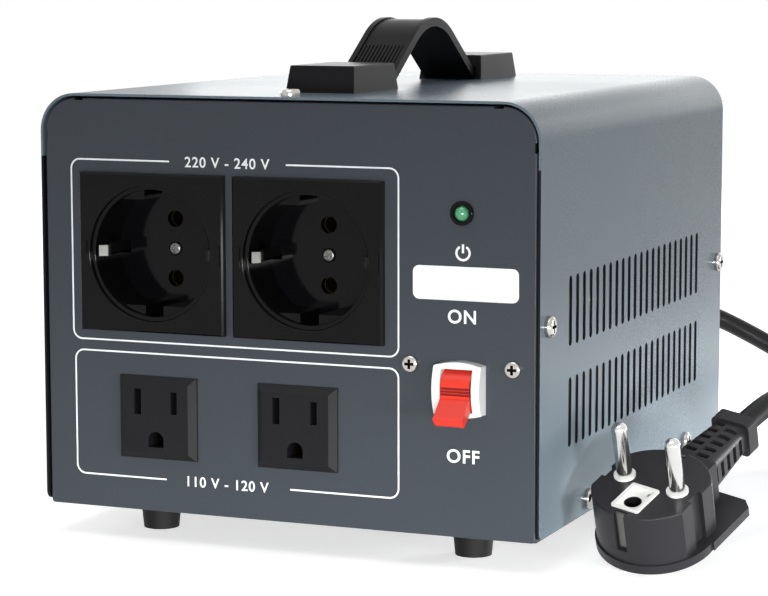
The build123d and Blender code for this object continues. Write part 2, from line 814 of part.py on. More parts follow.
def eu_body(x):
    """Moulded body of one European outlet."""
    with BuildPart() as body:
        with BuildSketch(eu_spot(x, 0)):
            Rectangle(eu_plate_width, eu_plate_height)
        extrude(amount=eu_plate_proud)
        front = body.faces().sort_by(Axis.Y)[0]
        chamfer(front.edges(), eu_plate_chamfer)
        with BuildSketch(eu_spot(x, 0)):
            Circle(eu_barrel_radius)
        extrude(amount=-eu_back_depth)
        with BuildSketch(eu_spot(x, -eu_plate_proud)):
            Circle(eu_rim_radius)
        extrude(amount=-eu_rim_depth, mode=Mode.SUBTRACT)
        fillet(body.edges().filter_by(GeomType.CIRCLE).group_by(Axis.Y)[0], eu_edge_radius)
        with BuildSketch(eu_spot(x, -eu_plate_proud)):
            with PolarLocations(0, 1, start_angle=eu_seam_turn):
                Circle(eu_well_radius)
        extrude(amount=-eu_guide_depth, mode=Mode.SUBTRACT)
        rings = body.edges().filter_by(GeomType.CIRCLE)
        rings = rings.filter_by(lambda edge: abs(edge.radius - eu_well_radius) < eu_edge_radius)
        fillet(rings.group_by(Axis.Y)[0], eu_edge_radius)
        with BuildSketch(eu_spot(x, -eu_plate_proud)):
            pad_x = (eu_plate_width - eu_pad_width) / 2 - eu_plate_chamfer
            with Locations((-pad_x, 0), (pad_x, 0)):
                Rectangle(eu_pad_width - 2 * eu_plate_chamfer, eu_pad_height)
            Circle(eu_rim_radius + eu_rim_depth, mode=Mode.SUBTRACT)
        extrude(amount=eu_pad_proud)
        guide = eu_well_radius - eu_guide_reach
        with BuildSketch(eu_spot(x, -eu_plate_proud)):
            with PolarLocations(0, 1, start_angle=eu_seam_turn):
                Circle(eu_well_radius)
            for up in mirror_x:
                for side in mirror_x:
                    flat_x = side * (eu_guide_gap / 2 + eu_well_radius / 2)
                    with Locations((flat_x, up * (eu_guide_reach + guide / 2))):
                        Rectangle(eu_well_radius, guide, mode=Mode.SUBTRACT)
        extrude(amount=-eu_well_depth, mode=Mode.SUBTRACT)
        with BuildSketch(eu_spot(x, eu_floor_depth)):
            with Locations((0, -eu_pin_spacing / 2), (0, eu_pin_spacing / 2)):
                Circle(eu_pin_hole_radius)
        extrude(amount=-eu_floor_sheet, mode=Mode.SUBTRACT)
        with BuildSketch(eu_spot(x, eu_back_depth)):
            with Locations((0, -eu_pin_spacing / 2), (0, eu_pin_spacing / 2)):
                Circle(eu_sleeve_radius + eu_pocket_clearance)
        extrude(amount=eu_chamber_depth, mode=Mode.SUBTRACT)
        channel_high = eu_clip_arm_x + eu_clip_thickness / 2 + eu_clip_channel
        channel_low = eu_clip_reach - eu_clip_thickness
        channel_depth = eu_back_depth + eu_plate_proud - eu_guide_depth + eu_clip_channel
        for side in mirror_x:
            with BuildSketch(eu_spot(x, eu_back_depth)):
                with Locations((side * (channel_low + channel_high) / 2, 0)):
                    channel_width = eu_clip_width + 2 * eu_clip_channel
                    Rectangle(channel_high - channel_low, channel_width)
            extrude(amount=channel_depth, mode=Mode.SUBTRACT)
        with BuildSketch(eu_spot(x, eu_floor_depth)):
            Circle(eu_screw_head + screw_clearance)
        extrude(amount=-eu_recess, mode=Mode.SUBTRACT)
        with BuildSketch(eu_spot(x, eu_floor_depth)):
            Circle(eu_screw_radius + screw_clearance)
        extrude(amount=-(eu_floor_sheet + eu_chamber_depth), mode=Mode.SUBTRACT)
    return body.part


def eu_clip(x):
    """The earth strip of one outlet: a spring arm at each side of the well."""
    rim = -eu_plate_proud
    half = [
        (eu_clip_lip_x, rim + eu_clip_lip_depth),
        (eu_clip_reach, rim + eu_clip_nose_depth),
        (eu_clip_arm_x, rim + eu_clip_root_depth),
        (eu_clip_arm_x, eu_strip_depth),
    ]
    spots = [(x - a, panel_y + d, eu_z) for a, d in half]
    spots += [(x + a, panel_y + d, eu_z) for a, d in reversed(half)]
    start, second = Vector(*spots[0]), Vector(*spots[1])
    with BuildPart() as clip:
        with BuildLine() as way:
            FilletPolyline(*spots, radius=eu_clip_bend)
        with BuildSketch(Plane(origin=start, x_dir=(0, 0, 1), z_dir=second - start)):
            Rectangle(eu_clip_width, eu_clip_thickness)
        sweep(path=way.wire())
        with BuildSketch(eu_spot(x, eu_strip_depth)):
            Circle(eu_screw_radius + lamp_fit)
        extrude(amount=eu_clip_thickness, both=True, mode=Mode.SUBTRACT)
    return clip.part


def eu_sleeves(x):
    """The two spring sleeves that take the pins, each with a tab for its wire."""
    with BuildPart() as sleeves:
        for up in mirror_x:
            spot = Plane(
                origin=(x, panel_y + eu_floor_back, eu_z + up * eu_pin_spacing / 2),
                x_dir=(1, 0, 0),
                z_dir=(0, 1, 0),
            )
            with BuildSketch(spot):
                Circle(eu_sleeve_radius)
                Circle(eu_sleeve_radius - eu_sleeve_wall, mode=Mode.SUBTRACT)
            extrude(amount=eu_sleeve_length)
            with BuildSketch(spot.offset(eu_sleeve_length)):
                Circle(eu_sleeve_radius)
            extrude(amount=eu_sleeve_wall)
            with BuildSketch(spot.offset(eu_sleeve_length + eu_sleeve_wall)):
                Rectangle(eu_tab_width, eu_tab_thickness)
            extrude(amount=eu_tab_length)
    return sleeves.part


eu_screw_length = eu_strip_depth + eu_screw_end - eu_floor_depth - eu_recess
eu_screw = cross_screw(eu_screw_head, eu_screw_head_height, eu_screw_radius, eu_screw_length)
for x, side_name in zip(eu_x, ("left", "right")):
    save(eu_body(x), f"eu_outlet_{side_name}")
with BuildPart() as eu_earth_clips:
    for x in eu_x:
        add(eu_clip(x))
save(eu_earth_clips.part, "eu_earth_clips")
with BuildPart() as eu_contacts:
    for x in eu_x:
        add(eu_sleeves(x))
save(eu_contacts.part, "eu_contacts")
with BuildPart() as eu_screws:
    for x in eu_x:
        with Locations(eu_spot(x, eu_floor_depth + eu_recess)):
            add(eu_screw)
save(eu_screws.part, "eu_screws")

# American outlets: bevelled face, two blade slots, an arched earth hole
us_slot_z = us_slot_rise
us_earth_z = us_slot_rise - us_earth_drop


def us_spot(x, depth):
    """The plane of one American outlet at a depth behind the panel's face."""
    return Plane(origin=(x, panel_y + depth, us_z), x_dir=(1, 0, 0), z_dir=(0, -1, 0))


def us_places():
    """Where the three contacts stand: place and the half gap between their leaves."""
    left_half, right_half = us_left_slot[0] / 2, us_right_slot[0] / 2
    return (
        (-us_slot_spacing / 2, us_slot_z, left_half),
        (us_slot_spacing / 2, us_slot_z, right_half),
        (0, us_earth_z, us_earth_width / 2),
    )


def us_body(x):
    """Moulded body of one American outlet."""
    with BuildPart() as body:
        with BuildSketch(us_spot(x, 0)):
            Rectangle(us_width, us_height)
        extrude(amount=us_lip)
        with BuildSketch(us_spot(x, -us_lip)):
            Rectangle(us_width, us_height)
        with BuildSketch(us_spot(x, -us_proud)):
            Rectangle(us_width - 2 * us_bevel, us_height - 2 * us_bevel)
        loft(ruled=True)
        with BuildSketch(us_spot(x, 0)):
            Rectangle(us_barrel_width, us_barrel_height)
        extrude(amount=-us_barrel_depth)
        with BuildSketch(us_spot(x, -us_proud)):
            with Locations((-us_slot_spacing / 2, us_slot_z)):
                Rectangle(*us_left_slot)
            with Locations((us_slot_spacing / 2, us_slot_z)):
                Rectangle(*us_right_slot)
            arch = us_earth_width / 2
            square = us_earth_height - arch
            with Locations((0, us_earth_z - us_earth_height / 2 + square)):
                Circle(arch)
            with Locations((0, us_earth_z - us_earth_height / 2)):
                Rectangle(us_earth_width, square, align=(Align.CENTER, Align.MIN))
            with Locations((0, us_earth_z - us_earth_height / 2)):
                Rectangle(us_earth_width, arch, align=(Align.CENTER, Align.MAX), mode=Mode.SUBTRACT)
        extrude(amount=-(us_proud + us_face_depth), mode=Mode.SUBTRACT)
        with BuildSketch(us_spot(x, us_barrel_depth)):
            for place_x, place_z, half in us_places():
                with Locations((place_x, place_z)):
                    pocket_width = 2 * (half + us_leaf_thickness + us_leaf_play)
                    Rectangle(pocket_width, us_leaf_height + 2 * us_leaf_play)
        extrude(amount=us_barrel_depth - us_face_depth, mode=Mode.SUBTRACT)
    return body.part


def us_leaves(x):
    """Three folded spring contacts, each with a tab for its wire."""
    with BuildPart() as leaves:
        for place_x, place_z, half in us_places():
            spot = Plane(
                origin=(x + place_x, panel_y + us_face_depth, us_z + place_z),
                x_dir=(1, 0, 0),
                z_dir=(0, 1, 0),
            )
            with BuildSketch(spot):
                for side in mirror_x:
                    with Locations((side * (half + us_leaf_thickness / 2), 0)):
                        Rectangle(us_leaf_thickness, us_leaf_height)
            extrude(amount=us_leaf_length)
            with BuildSketch(spot.offset(us_leaf_length)):
                Rectangle(2 * (half + us_leaf_thickness), us_leaf_height)
            extrude(amount=us_leaf_thickness)
            tab_start = us_leaf_length + us_leaf_thickness
            tab_length = us_barrel_depth - us_face_depth - tab_start + us_tab_length
            with BuildSketch(spot.offset(tab_start)):
                Rectangle(us_leaf_thickness, us_leaf_height / 2)
            extrude(amount=tab_length)
    return leaves.part


for x, side_name in zip(us_x, ("left", "right")):
    save(us_body(x), f"us_outlet_{side_name}")
with BuildPart() as us_contacts:
    for x in us_x:
        add(us_leaves(x))
save(us_contacts.part, "us_contacts")

# Pilot lamp: bezel with a threaded barrel, its nut, and the green diode in it
lamp_face = Plane(origin=(lamp_x, panel_y, lamp_z), x_dir=(1, 0, 0), z_dir=(0, -1, 0))
with BuildPart() as lamp_bezel:
    with BuildSketch(lamp_face):
        Circle(lamp_flange_radius)
    extrude(amount=lamp_flange_proud)
    fillet(lamp_bezel.edges().sort_by(Axis.Y)[0], lamp_edge_radius)
    with BuildSketch(lamp_face):
        Circle(lamp_barrel_radius)
    extrude(amount=-lamp_barrel_length)
    with BuildSketch(lamp_face.offset(lamp_flange_proud)):
        Circle(lamp_led_radius + lamp_fit)
    extrude(amount=-(lamp_flange_proud + lamp_barrel_length), mode=Mode.SUBTRACT)
save(lamp_bezel.part, "lamp_bezel")
with BuildPart() as lamp_diode:
    with BuildSketch(lamp_face.offset(lamp_flange_proud + lamp_dome_proud - lamp_led_radius)):
        Circle(lamp_led_radius)
    extrude(amount=-lamp_led_base)
    with Locations(lamp_face.offset(lamp_flange_proud + lamp_dome_proud - lamp_led_radius)):
        Sphere(lamp_led_radius)
    leg_start = lamp_flange_proud + lamp_dome_proud - lamp_led_radius - lamp_led_base
    with BuildSketch(lamp_face.offset(leg_start)):
        with Locations((-lamp_leg_spacing / 2, 0), (lamp_leg_spacing / 2, 0)):
            Circle(lamp_leg_radius)
    extrude(amount=-lamp_leg_length)
save(lamp_diode.part, "lamp_diode")
with BuildPart() as lamp_nut:
    nut_seat = Plane(origin=(lamp_x, panel_y + chassis_sheet, lamp_z), x_dir=(1, 0, 0), z_dir=(0, 1, 0))
    with Locations(nut_seat):
        add(hex_nut(lamp_nut_across, lamp_nut_height, lamp_barrel_radius + lamp_fit))
save(lamp_nut.part, "lamp_nut")

# Bare plate under the lamp
with BuildPart() as name_plate:
    with BuildSketch(behind(0)):
        with Locations((plate_x, plate_z)):
            RectangleRounded(plate_width, plate_height, plate_corner)
    extrude(amount=plate_sheet)
save(name_plate.part, "name_plate")

# Breaker switch: housing with its nose through the panel
switch_front = Plane(origin=(switch_x, panel_y, switch_z), x_dir=(1, 0, 0), z_dir=(0, -1, 0))
switch_side = Plane(origin=(switch_x, panel_y, switch_z), x_dir=(0, 1, 0), z_dir=(1, 0, 0))
body_front = chassis_sheet
body_back = body_front + switch_body_depth
cavity_width = lever_width + 2 * lever_side_clearance
cavity_radius = lever_drum_radius + lever_drum_clearance
chamber_height = switch_body_height - 2 * (terminal_size + switch_wall)
terminal_z = (switch_body_height - terminal_size) / 2
with BuildPart() as switch_housing:
    with BuildSketch(switch_front):
        add(nose_outline(0))
    extrude(amount=nose_middle_proud)
    with BuildSketch(switch_side):
        with BuildLine():
            Line((0, -nose_middle_height), (-nose_side_proud, -nose_middle_height))
            Line((-nose_side_proud, -nose_middle_height), (-nose_side_proud, -nose_middle_height / 2))
            ThreePointArc(
                (-nose_side_proud, -nose_middle_height / 2),
                (-nose_middle_proud, 0),
                (-nose_side_proud, nose_middle_height / 2),
            )
            Line((-nose_side_proud, nose_middle_height / 2), (-nose_side_proud, nose_middle_height))
            Line((-nose_side_proud, nose_middle_height), (0, nose_middle_height))
            Line((0, nose_middle_height), (0, -nose_middle_height))
        make_face()
    extrude(amount=nose_width, both=True, mode=Mode.INTERSECT)
    with BuildSketch(switch_front):
        add(nose_outline(0))
    extrude(amount=-(body_front + switch_wall))
    with BuildSketch(switch_front.offset(-body_front)):
        Rectangle(nose_width, switch_body_height)
    extrude(amount=-switch_body_depth)
    with BuildSketch(switch_side):
        Circle(cavity_radius)
    extrude(amount=cavity_width / 2, both=True, mode=Mode.SUBTRACT)
    with BuildSketch(switch_front.offset(nose_middle_proud + overrun)):
        Rectangle(cavity_width, lever_slot_height)
    extrude(amount=-(nose_middle_proud + overrun), mode=Mode.SUBTRACT)
    with BuildSketch(switch_front.offset(-cavity_radius / 2)):
        Rectangle(cavity_width, chamber_height)
    extrude(amount=-(body_back - switch_wall - cavity_radius / 2), mode=Mode.SUBTRACT)
    with BuildSketch(switch_side):
        Circle(pivot_radius + pivot_clearance)
    extrude(amount=nose_width / 2 - switch_wall / 2, both=True, mode=Mode.SUBTRACT)
    with BuildSketch(switch_side):
        with Locations((arm_pivot_depth, -arm_pivot_drop)):
            Circle(arm_pin_radius + pivot_clearance)
    extrude(amount=nose_width / 2 - switch_wall / 2, both=True, mode=Mode.SUBTRACT)
    for up in mirror_x:
        with BuildSketch(switch_front.offset(-terminal_depth)):
            with Locations((0, up * terminal_z)):
                Rectangle(terminal_size + 2 * terminal_clearance, terminal_size + 2 * terminal_clearance)
        pocket_length = body_back - terminal_depth
        extrude(amount=-pocket_length, mode=Mode.SUBTRACT)
save(switch_housing.part, "switch_housing")

# Switch lever: a drum on the pivot pin with a finger paddle, held down in the off position


def lever_plane(angle):
    """The lever's middle plane, its x axis turned up from the rear by an angle."""
    turn = math.radians(angle)
    rear = (0, math.cos(turn), math.sin(turn))
    return Plane(origin=switch_side.origin, x_dir=rear, z_dir=(1, 0, 0))


paddle = lever_plane(lever_rest_angle)
with BuildPart() as switch_lever:
    with BuildSketch(paddle):
        Circle(lever_drum_radius)
        root, tip = lever_root_thickness / 2, lever_tip_thickness / 2
        with BuildLine():
            Line((0, -root), (-lever_drum_radius, -root))
            Line((-lever_drum_radius, -root), (tip - lever_reach, -tip))
            ThreePointArc((tip - lever_reach, -tip), (-lever_reach, 0), (tip - lever_reach, tip))
            Line((tip - lever_reach, tip), (-lever_drum_radius, root))
            Line((-lever_drum_radius, root), (0, root))
            Line((0, root), (0, -root))
        make_face()
        Circle(pivot_radius + pivot_clearance, mode=Mode.SUBTRACT)
    extrude(amount=lever_width / 2, both=True)
    plan = Plane(origin=paddle.origin, x_dir=paddle.x_dir, z_dir=paddle.y_dir)
    with BuildSketch(plan):
        with Locations(((lever_drum_radius - lever_reach) / 2, 0)):
            Rectangle(lever_reach + lever_drum_radius, lever_width)
        fillet(vertices().group_by(Axis.X)[0], lever_corner_radius)
    extrude(amount=lever_drum_radius, both=True, mode=Mode.INTERSECT)
    for angle in lever_groove_angles:
        with BuildSketch(lever_plane(angle)):
            with Locations((-lever_drum_radius, 0)):
                Rectangle(2 * lever_groove_depth, lever_groove_width)
        extrude(amount=lever_width, both=True, mode=Mode.SUBTRACT)
save(switch_lever.part, "switch_lever")
pin_length = nose_width - switch_wall - 2 * pivot_clearance
with BuildPart() as switch_pivot_pin:
    with BuildSketch(switch_side):
        Circle(pivot_radius)
    extrude(amount=pin_length / 2, both=True)
save(switch_pivot_pin.part, "switch_pivot_pin")

# Contact arm: swings towards the fixed contact when the lever goes up
arm_axis = Plane(
    origin=(switch_x, panel_y + arm_pivot_depth, switch_z - arm_pivot_drop),
    x_dir=(0, 1, 0),
    z_dir=(1, 0, 0),
)
contact_x = arm_thickness / 2 + arm_contact_height
swing_run = math.radians(arm_swing) * arm_length
with BuildPart() as switch_arm:
    with BuildSketch(arm_axis):
        Circle(arm_boss_radius)
        with Locations((0, arm_length / 2)):
            Rectangle(arm_thickness, arm_length)
        Circle(arm_pin_radius + pivot_clearance, mode=Mode.SUBTRACT)
    extrude(amount=arm_width / 2, both=True)
    button = Plane(
        origin=arm_axis.from_local_coords((arm_thickness / 2, arm_length - arm_contact_radius, 0)),
        x_dir=(1, 0, 0),
        z_dir=(0, 1, 0),
    )
    with BuildSketch(button):
        Circle(arm_contact_radius)
    extrude(amount=arm_contact_height)
save(switch_arm.part, "switch_arm")
with BuildPart() as switch_arm_pin:
    with BuildSketch(arm_axis):
        Circle(arm_pin_radius)
    extrude(amount=pin_length / 2, both=True)
save(switch_arm_pin.part, "switch_arm_pin")

# Fixed contact: a strip on the back wall of the chamber, in front of which the arm stops
chamber_back = body_back - switch_wall
contact_reach = arm_pivot_depth + contact_x + swing_run + contact_gap
with BuildPart() as switch_contact:
    strip_low = -chamber_height / 2
    with BuildSketch(switch_front.offset(-chamber_back)):
        Rectangle(fixed_contact_width, chamber_height)
    extrude(amount=fixed_contact_sheet)
    contact_z = arm_length - arm_contact_radius - arm_pivot_drop
    with BuildSketch(switch_front.offset(-(chamber_back - fixed_contact_sheet))):
        with Locations((0, contact_z)):
            Circle(arm_contact_radius)
    extrude(amount=chamber_back - fixed_contact_sheet - contact_reach)
save(switch_contact.part, "switch_contact")

# Screw clamps above and below the chamber
with BuildPart() as switch_terminals:
    for up in mirror_x:
        with BuildSketch(switch_front.offset(-terminal_depth)):
            with Locations((0, up * terminal_z)):
                Rectangle(terminal_size, terminal_size)
                Circle(terminal_wire_radius, mode=Mode.SUBTRACT)
        extrude(amount=-terminal_size)
        clamp_spot = Plane(
            origin=(switch_x, panel_y + terminal_depth + terminal_size / 2, switch_z + up * terminal_z),
            z_dir=(0, 0, up),
        )
        with BuildSketch(clamp_spot):
            Circle(terminal_screw_radius + pivot_clearance)
        extrude(amount=terminal_size, mode=Mode.SUBTRACT)
save(switch_terminals.part, "switch_terminals")
clamp_bite = terminal_size / 2 - terminal_wire_radius
terminal_screw = cross_screw(
    terminal_screw_head, terminal_screw_head_height, terminal_screw_radius, clamp_bite
)
with BuildPart() as switch_screws:
    for up in mirror_x:
        head_seat = Plane(
            origin=(
                switch_x,
                panel_y + terminal_depth + terminal_size / 2,
                switch_z + up * (terminal_z + terminal_size / 2),
            ),
            z_dir=(0, 0, up),
        )
        with Locations(head_seat):
            add(terminal_screw)
save(switch_screws.part, "switch_screws")

# Bracket: one strip round the housing, screwed to the panel on both sides
ear_y = panel_y + chassis_sheet + bracket_sheet / 2
leg_x = nose_width / 2 + bracket_gap + bracket_sheet / 2
strap_y = panel_y + body_back + bracket_gap + bracket_sheet / 2
bracket_points = [
    (bracket_screw_x[0] - bracket_end, ear_y, bracket_screw_z),
    (switch_x - leg_x, ear_y, bracket_screw_z),
    (switch_x - leg_x, strap_y, bracket_screw_z),
    (switch_x + leg_x, strap_y, bracket_screw_z),
    (switch_x + leg_x, ear_y, bracket_screw_z),
    (bracket_screw_x[1] + bracket_end, ear_y, bracket_screw_z),
]
with BuildPart() as switch_bracket:
    with BuildLine() as bracket_way:
        FilletPolyline(*bracket_points, radius=bracket_bend)
    with BuildSketch(Plane(origin=bracket_points[0], x_dir=(0, 1, 0), z_dir=(1, 0, 0))):
        Rectangle(bracket_sheet, bracket_height)
    sweep(path=bracket_way.wire())
    with BuildSketch(behind(0)):
        with Locations(*[(x, bracket_screw_z) for x in bracket_screw_x]):
            Circle(panel_screw_radius + pivot_clearance)
    extrude(amount=-(chassis_sheet + 2 * bracket_sheet), mode=Mode.SUBTRACT)
save(switch_bracket.part, "switch_bracket")
panel_screw = cross_screw(
    panel_screw_head, panel_screw_height, panel_screw_radius, panel_screw_length
)
with BuildPart() as bracket_screws:
    for x in bracket_screw_x:
        seat = Plane(origin=(x, panel_y, bracket_screw_z), x_dir=(1, 0, 0), z_dir=(0, -1, 0))
        with Locations(seat):
            add(panel_screw)
save(bracket_screws.part, "bracket_screws")

# Toroidal transformer on a rubber pad, clamped by a dished plate and one bolt
toroid_spot = Plane(origin=(0, toroid_y, 0))
ring_low = floor_top_z + pad_thickness
ring_high = ring_low + toroid_height
save(
    turned_ring(pad_radius + toroid_edge_radius, bolt_radius + bolt_clearance, pad_thickness,
                toroid_spot.offset(floor_top_z)),
    "transformer_pad_lower",
)
save(
    turned_ring(pad_radius, bolt_radius + bolt_clearance, pad_thickness,
                toroid_spot.offset(ring_high)),
    "transformer_pad_upper",
)
core_outer = toroid_radius - toroid_wrap - core_clearance
core_inner = toroid_bore + toroid_wrap + core_clearance
core_height = toroid_height - 2 * (toroid_wrap + core_clearance)
core_low = ring_low + toroid_wrap + core_clearance
save(turned_ring(core_outer, core_inner, core_height, toroid_spot.offset(core_low)), "transformer_core")
ring_middle_radius = (toroid_radius + toroid_bore) / 2
ring_width = toroid_radius - toroid_bore
gap_side = math.radians(lead_gap_turn)
ring_plane = Plane(
    origin=(0, toroid_y, 0),
    x_dir=(math.cos(gap_side), math.sin(gap_side), 0),
    z_dir=(math.sin(gap_side), -math.cos(gap_side), 0),
)
with BuildPart() as transformer_winding:
    with BuildSketch(ring_plane):
        with Locations((ring_middle_radius, (ring_low + ring_high) / 2)):
            RectangleRounded(ring_width, toroid_height, toroid_edge_radius)
            hollow = ring_width - 2 * toroid_wrap
            Rectangle(hollow, toroid_height - 2 * toroid_wrap, mode=Mode.SUBTRACT)
    revolve(axis=Axis((0, toroid_y, 0), (0, 0, 1)), revolution_arc=360 - lead_gap_angle)
save(transformer_winding.part, "transformer_winding")
dish_low = ring_high + pad_thickness
with BuildPart() as transformer_dish:
    with BuildSketch(toroid_spot.offset(dish_low)):
        Circle(dish_radius)
        Circle(bolt_radius + bolt_clearance, mode=Mode.SUBTRACT)
    extrude(amount=dish_sheet)
    with BuildSketch(toroid_spot.offset(dish_low + dish_sheet)):
        Circle(dish_radius)
        Circle(dish_radius - dish_sheet, mode=Mode.SUBTRACT)
    extrude(amount=dish_lip)
save(transformer_dish.part, "transformer_dish")
washer_low = dish_low + dish_sheet
save(
    turned_ring(washer_radius, bolt_radius + bolt_clearance, washer_sheet,
                toroid_spot.offset(washer_low)),
    "transformer_washer",
)
nut_low = washer_low + washer_sheet
with BuildPart() as transformer_nut:
    with Locations((0, toroid_y, nut_low)):
        add(hex_nut(bolt_head_across, nut_height, bolt_radius + pivot_clearance))
save(transformer_nut.part, "transformer_nut")
with BuildPart() as transformer_bolt:
    with BuildSketch(toroid_spot.offset(floor_z)):
        RegularPolygon(bolt_head_across / math.sqrt(3), 6)
    extrude(amount=-bolt_head_height)
    with BuildSketch(toroid_spot.offset(floor_z)):
        Circle(bolt_radius)
    extrude(amount=nut_low + nut_height + bolt_end - floor_z)
save(transformer_bolt.part, "transformer_bolt")

# Thermal cut-out on the flat top of the winding
cutout_spot = Plane(origin=(0, toroid_y, ring_high)).rotated((0, 0, cutout_turn))
with BuildPart() as thermal_cutout:
    with BuildSketch(cutout_spot):
        with Locations((cutout_radius, 0)):
            Rectangle(cutout_width, cutout_length)
    extrude(amount=cutout_height)
save(thermal_cutout.part, "thermal_cutout")

# Terminal block for the mains lead, screwed to the floor
block_way_z = floor_top_z + block_size[2] / 2
block_top_z = floor_top_z + block_size[2]
block_ways_x = [block_x + side * block_way_pitch / 2 for side in mirror_x]
with BuildPart() as terminal_block:
    with BuildSketch(Plane(origin=(block_x, block_y, floor_top_z))):
        Rectangle(block_size[0], block_size[1])
    extrude(amount=block_size[2])
    for way_x in block_ways_x:
        way_face = Plane(origin=(way_x, block_y, block_way_z), x_dir=(1, 0, 0), z_dir=(0, -1, 0))
        with BuildSketch(way_face):
            Circle(block_bore_radius)
        extrude(amount=block_size[1], both=True, mode=Mode.SUBTRACT)
        with BuildSketch(Plane(origin=(way_x, block_y, block_top_z))):
            Circle(block_screw_head + screw_clearance)
        extrude(amount=-block_screw_recess, mode=Mode.SUBTRACT)
        with BuildSketch(Plane(origin=(way_x, block_y, block_top_z))):
            Circle(block_screw_radius + pivot_clearance)
        extrude(amount=-block_size[2] / 2, mode=Mode.SUBTRACT)
    with BuildSketch(Plane(origin=(block_x, block_y, floor_top_z))):
        Circle(block_mount_radius + pivot_clearance)
    extrude(amount=block_size[2], mode=Mode.SUBTRACT)
save(terminal_block.part, "terminal_block")
clamp_screw = cross_screw(
    block_screw_head, block_screw_head_height, block_screw_radius, block_screw_recess
)
mount_length = block_size[2] + chassis_sheet + block_mount_end
mount_screw = cross_screw(
    block_mount_head, block_screw_head_height, block_mount_radius, mount_length
)
with BuildPart() as terminal_screws:
    with Locations(*[(way_x, block_y, block_top_z - block_screw_recess) for way_x in block_ways_x]):
        add(clamp_screw)
    with Locations((block_x, block_y, block_top_z)):
        add(mount_screw)
save(terminal_screws.part, "terminal_screws")

# Earth stud through the floor, with its ring lug and nut
with BuildPart() as earth_stud:
    with BuildSketch(Plane(origin=(stud_x, stud_y, floor_z))):
        RegularPolygon(stud_head_across / math.sqrt(3), 6)
    extrude(amount=-stud_head_height)
    with BuildSketch(Plane(origin=(stud_x, stud_y, floor_z))):
        Circle(stud_radius)
    extrude(amount=stud_length)
save(earth_stud.part, "earth_stud")
with BuildPart() as earth_nut:
    with Locations((stud_x, stud_y, floor_top_z + lug_sheet)):
        add(hex_nut(stud_head_across, stud_nut_height, stud_radius + pivot_clearance))
save(earth_nut.part, "earth_nut")

# Cable gland in the rear panel
gland_face = Plane(origin=(gland_x, back_y, gland_z), x_dir=(1, 0, 0), z_dir=(0, 1, 0))
with BuildPart() as cable_gland:
    with BuildSketch(gland_face):
        RegularPolygon(gland_hex_across / math.sqrt(3), 6)
    extrude(amount=gland_hex_height)
    with BuildSketch(gland_face.offset(gland_hex_height)):
        Circle(gland_dome_radius)
    extrude(amount=gland_dome_height)
    dome_edge = cable_gland.edges().filter_by(GeomType.CIRCLE).sort_by(Axis.Y)[-1]
    fillet(dome_edge, gland_dome_radius - sleeve_root_radius)
    with BuildSketch(gland_face):
        Circle(gland_thread_radius)
    extrude(amount=-gland_inside)
save(cable_gland.part, "cable_gland")
gland_nut_seat = Plane(
    origin=(gland_x, back_y - chassis_sheet, gland_z), x_dir=(1, 0, 0), z_dir=(0, -1, 0)
)
with BuildPart() as gland_nut:
    with Locations(gland_nut_seat):
        add(hex_nut(gland_nut_across, gland_nut_height, gland_thread_radius + pivot_clearance))
save(gland_nut.part, "gland_nut")

# Wires: the cores of the lead to the block and the stud, the switch in the live wire,
# the winding's ends out of its gap, and jumpers from outlet to outlet
gland_end_y = back_y - gland_inside
block_rear_y = block_y + block_size[1] / 2 - wire_bite
block_front_y = block_y - block_size[1] / 2 + wire_bite
clamp_y = panel_y + terminal_depth + wire_bite
core_side = math.radians(lead_out_angle)
core_out = core_outer + wire_end_gap
core_x = core_out * math.cos(core_side)
core_y = toroid_y + core_out * math.sin(core_side)
eu_tab_y = panel_y + eu_floor_back + eu_sleeve_length + eu_sleeve_wall + eu_tab_length
eu_high = eu_z + eu_pin_spacing / 2
eu_low = eu_z - eu_pin_spacing / 2
us_tab_y = panel_y + us_barrel_depth + us_tab_length
us_tab_z = us_z + us_slot_z
us_earth_tab_z = us_z + us_earth_z
us_half = us_slot_spacing / 2
strip_y = panel_y + eu_strip_depth + eu_clip_thickness / 2
half_pair = wire_pair / 2
live_in, neutral_in = gland_x + core_spread / 2, gland_x - core_spread / 2


def jumper(x_from, x_to, tab_y, z, loop):
    """A wire from tab to tab: back, across and forward again."""
    points = [
        (x_from, tab_y, z),
        (x_from, tab_y + loop, z),
        (x_to, tab_y + loop, z),
        (x_to, tab_y, z),
    ]
    return wire(points, wire_bend)


switch_tap_z, eu_live_tap_z, us_live_tap_z, floor_tap_z, eu_neutral_tap_z = tap_levels
live_turn_y = gland_end_y - live_turn_back
neutral_turn_y = gland_end_y - neutral_turn_back
neutral_riser_x = switch_x - neutral_riser_gap
earth_crossing_z = eu_z + earth_crossing_rise


def tap_out(reach):
    """Where a winding's end stands after it went straight out by a length."""
    return core_x + reach * math.cos(core_side), core_y + reach * math.sin(core_side)


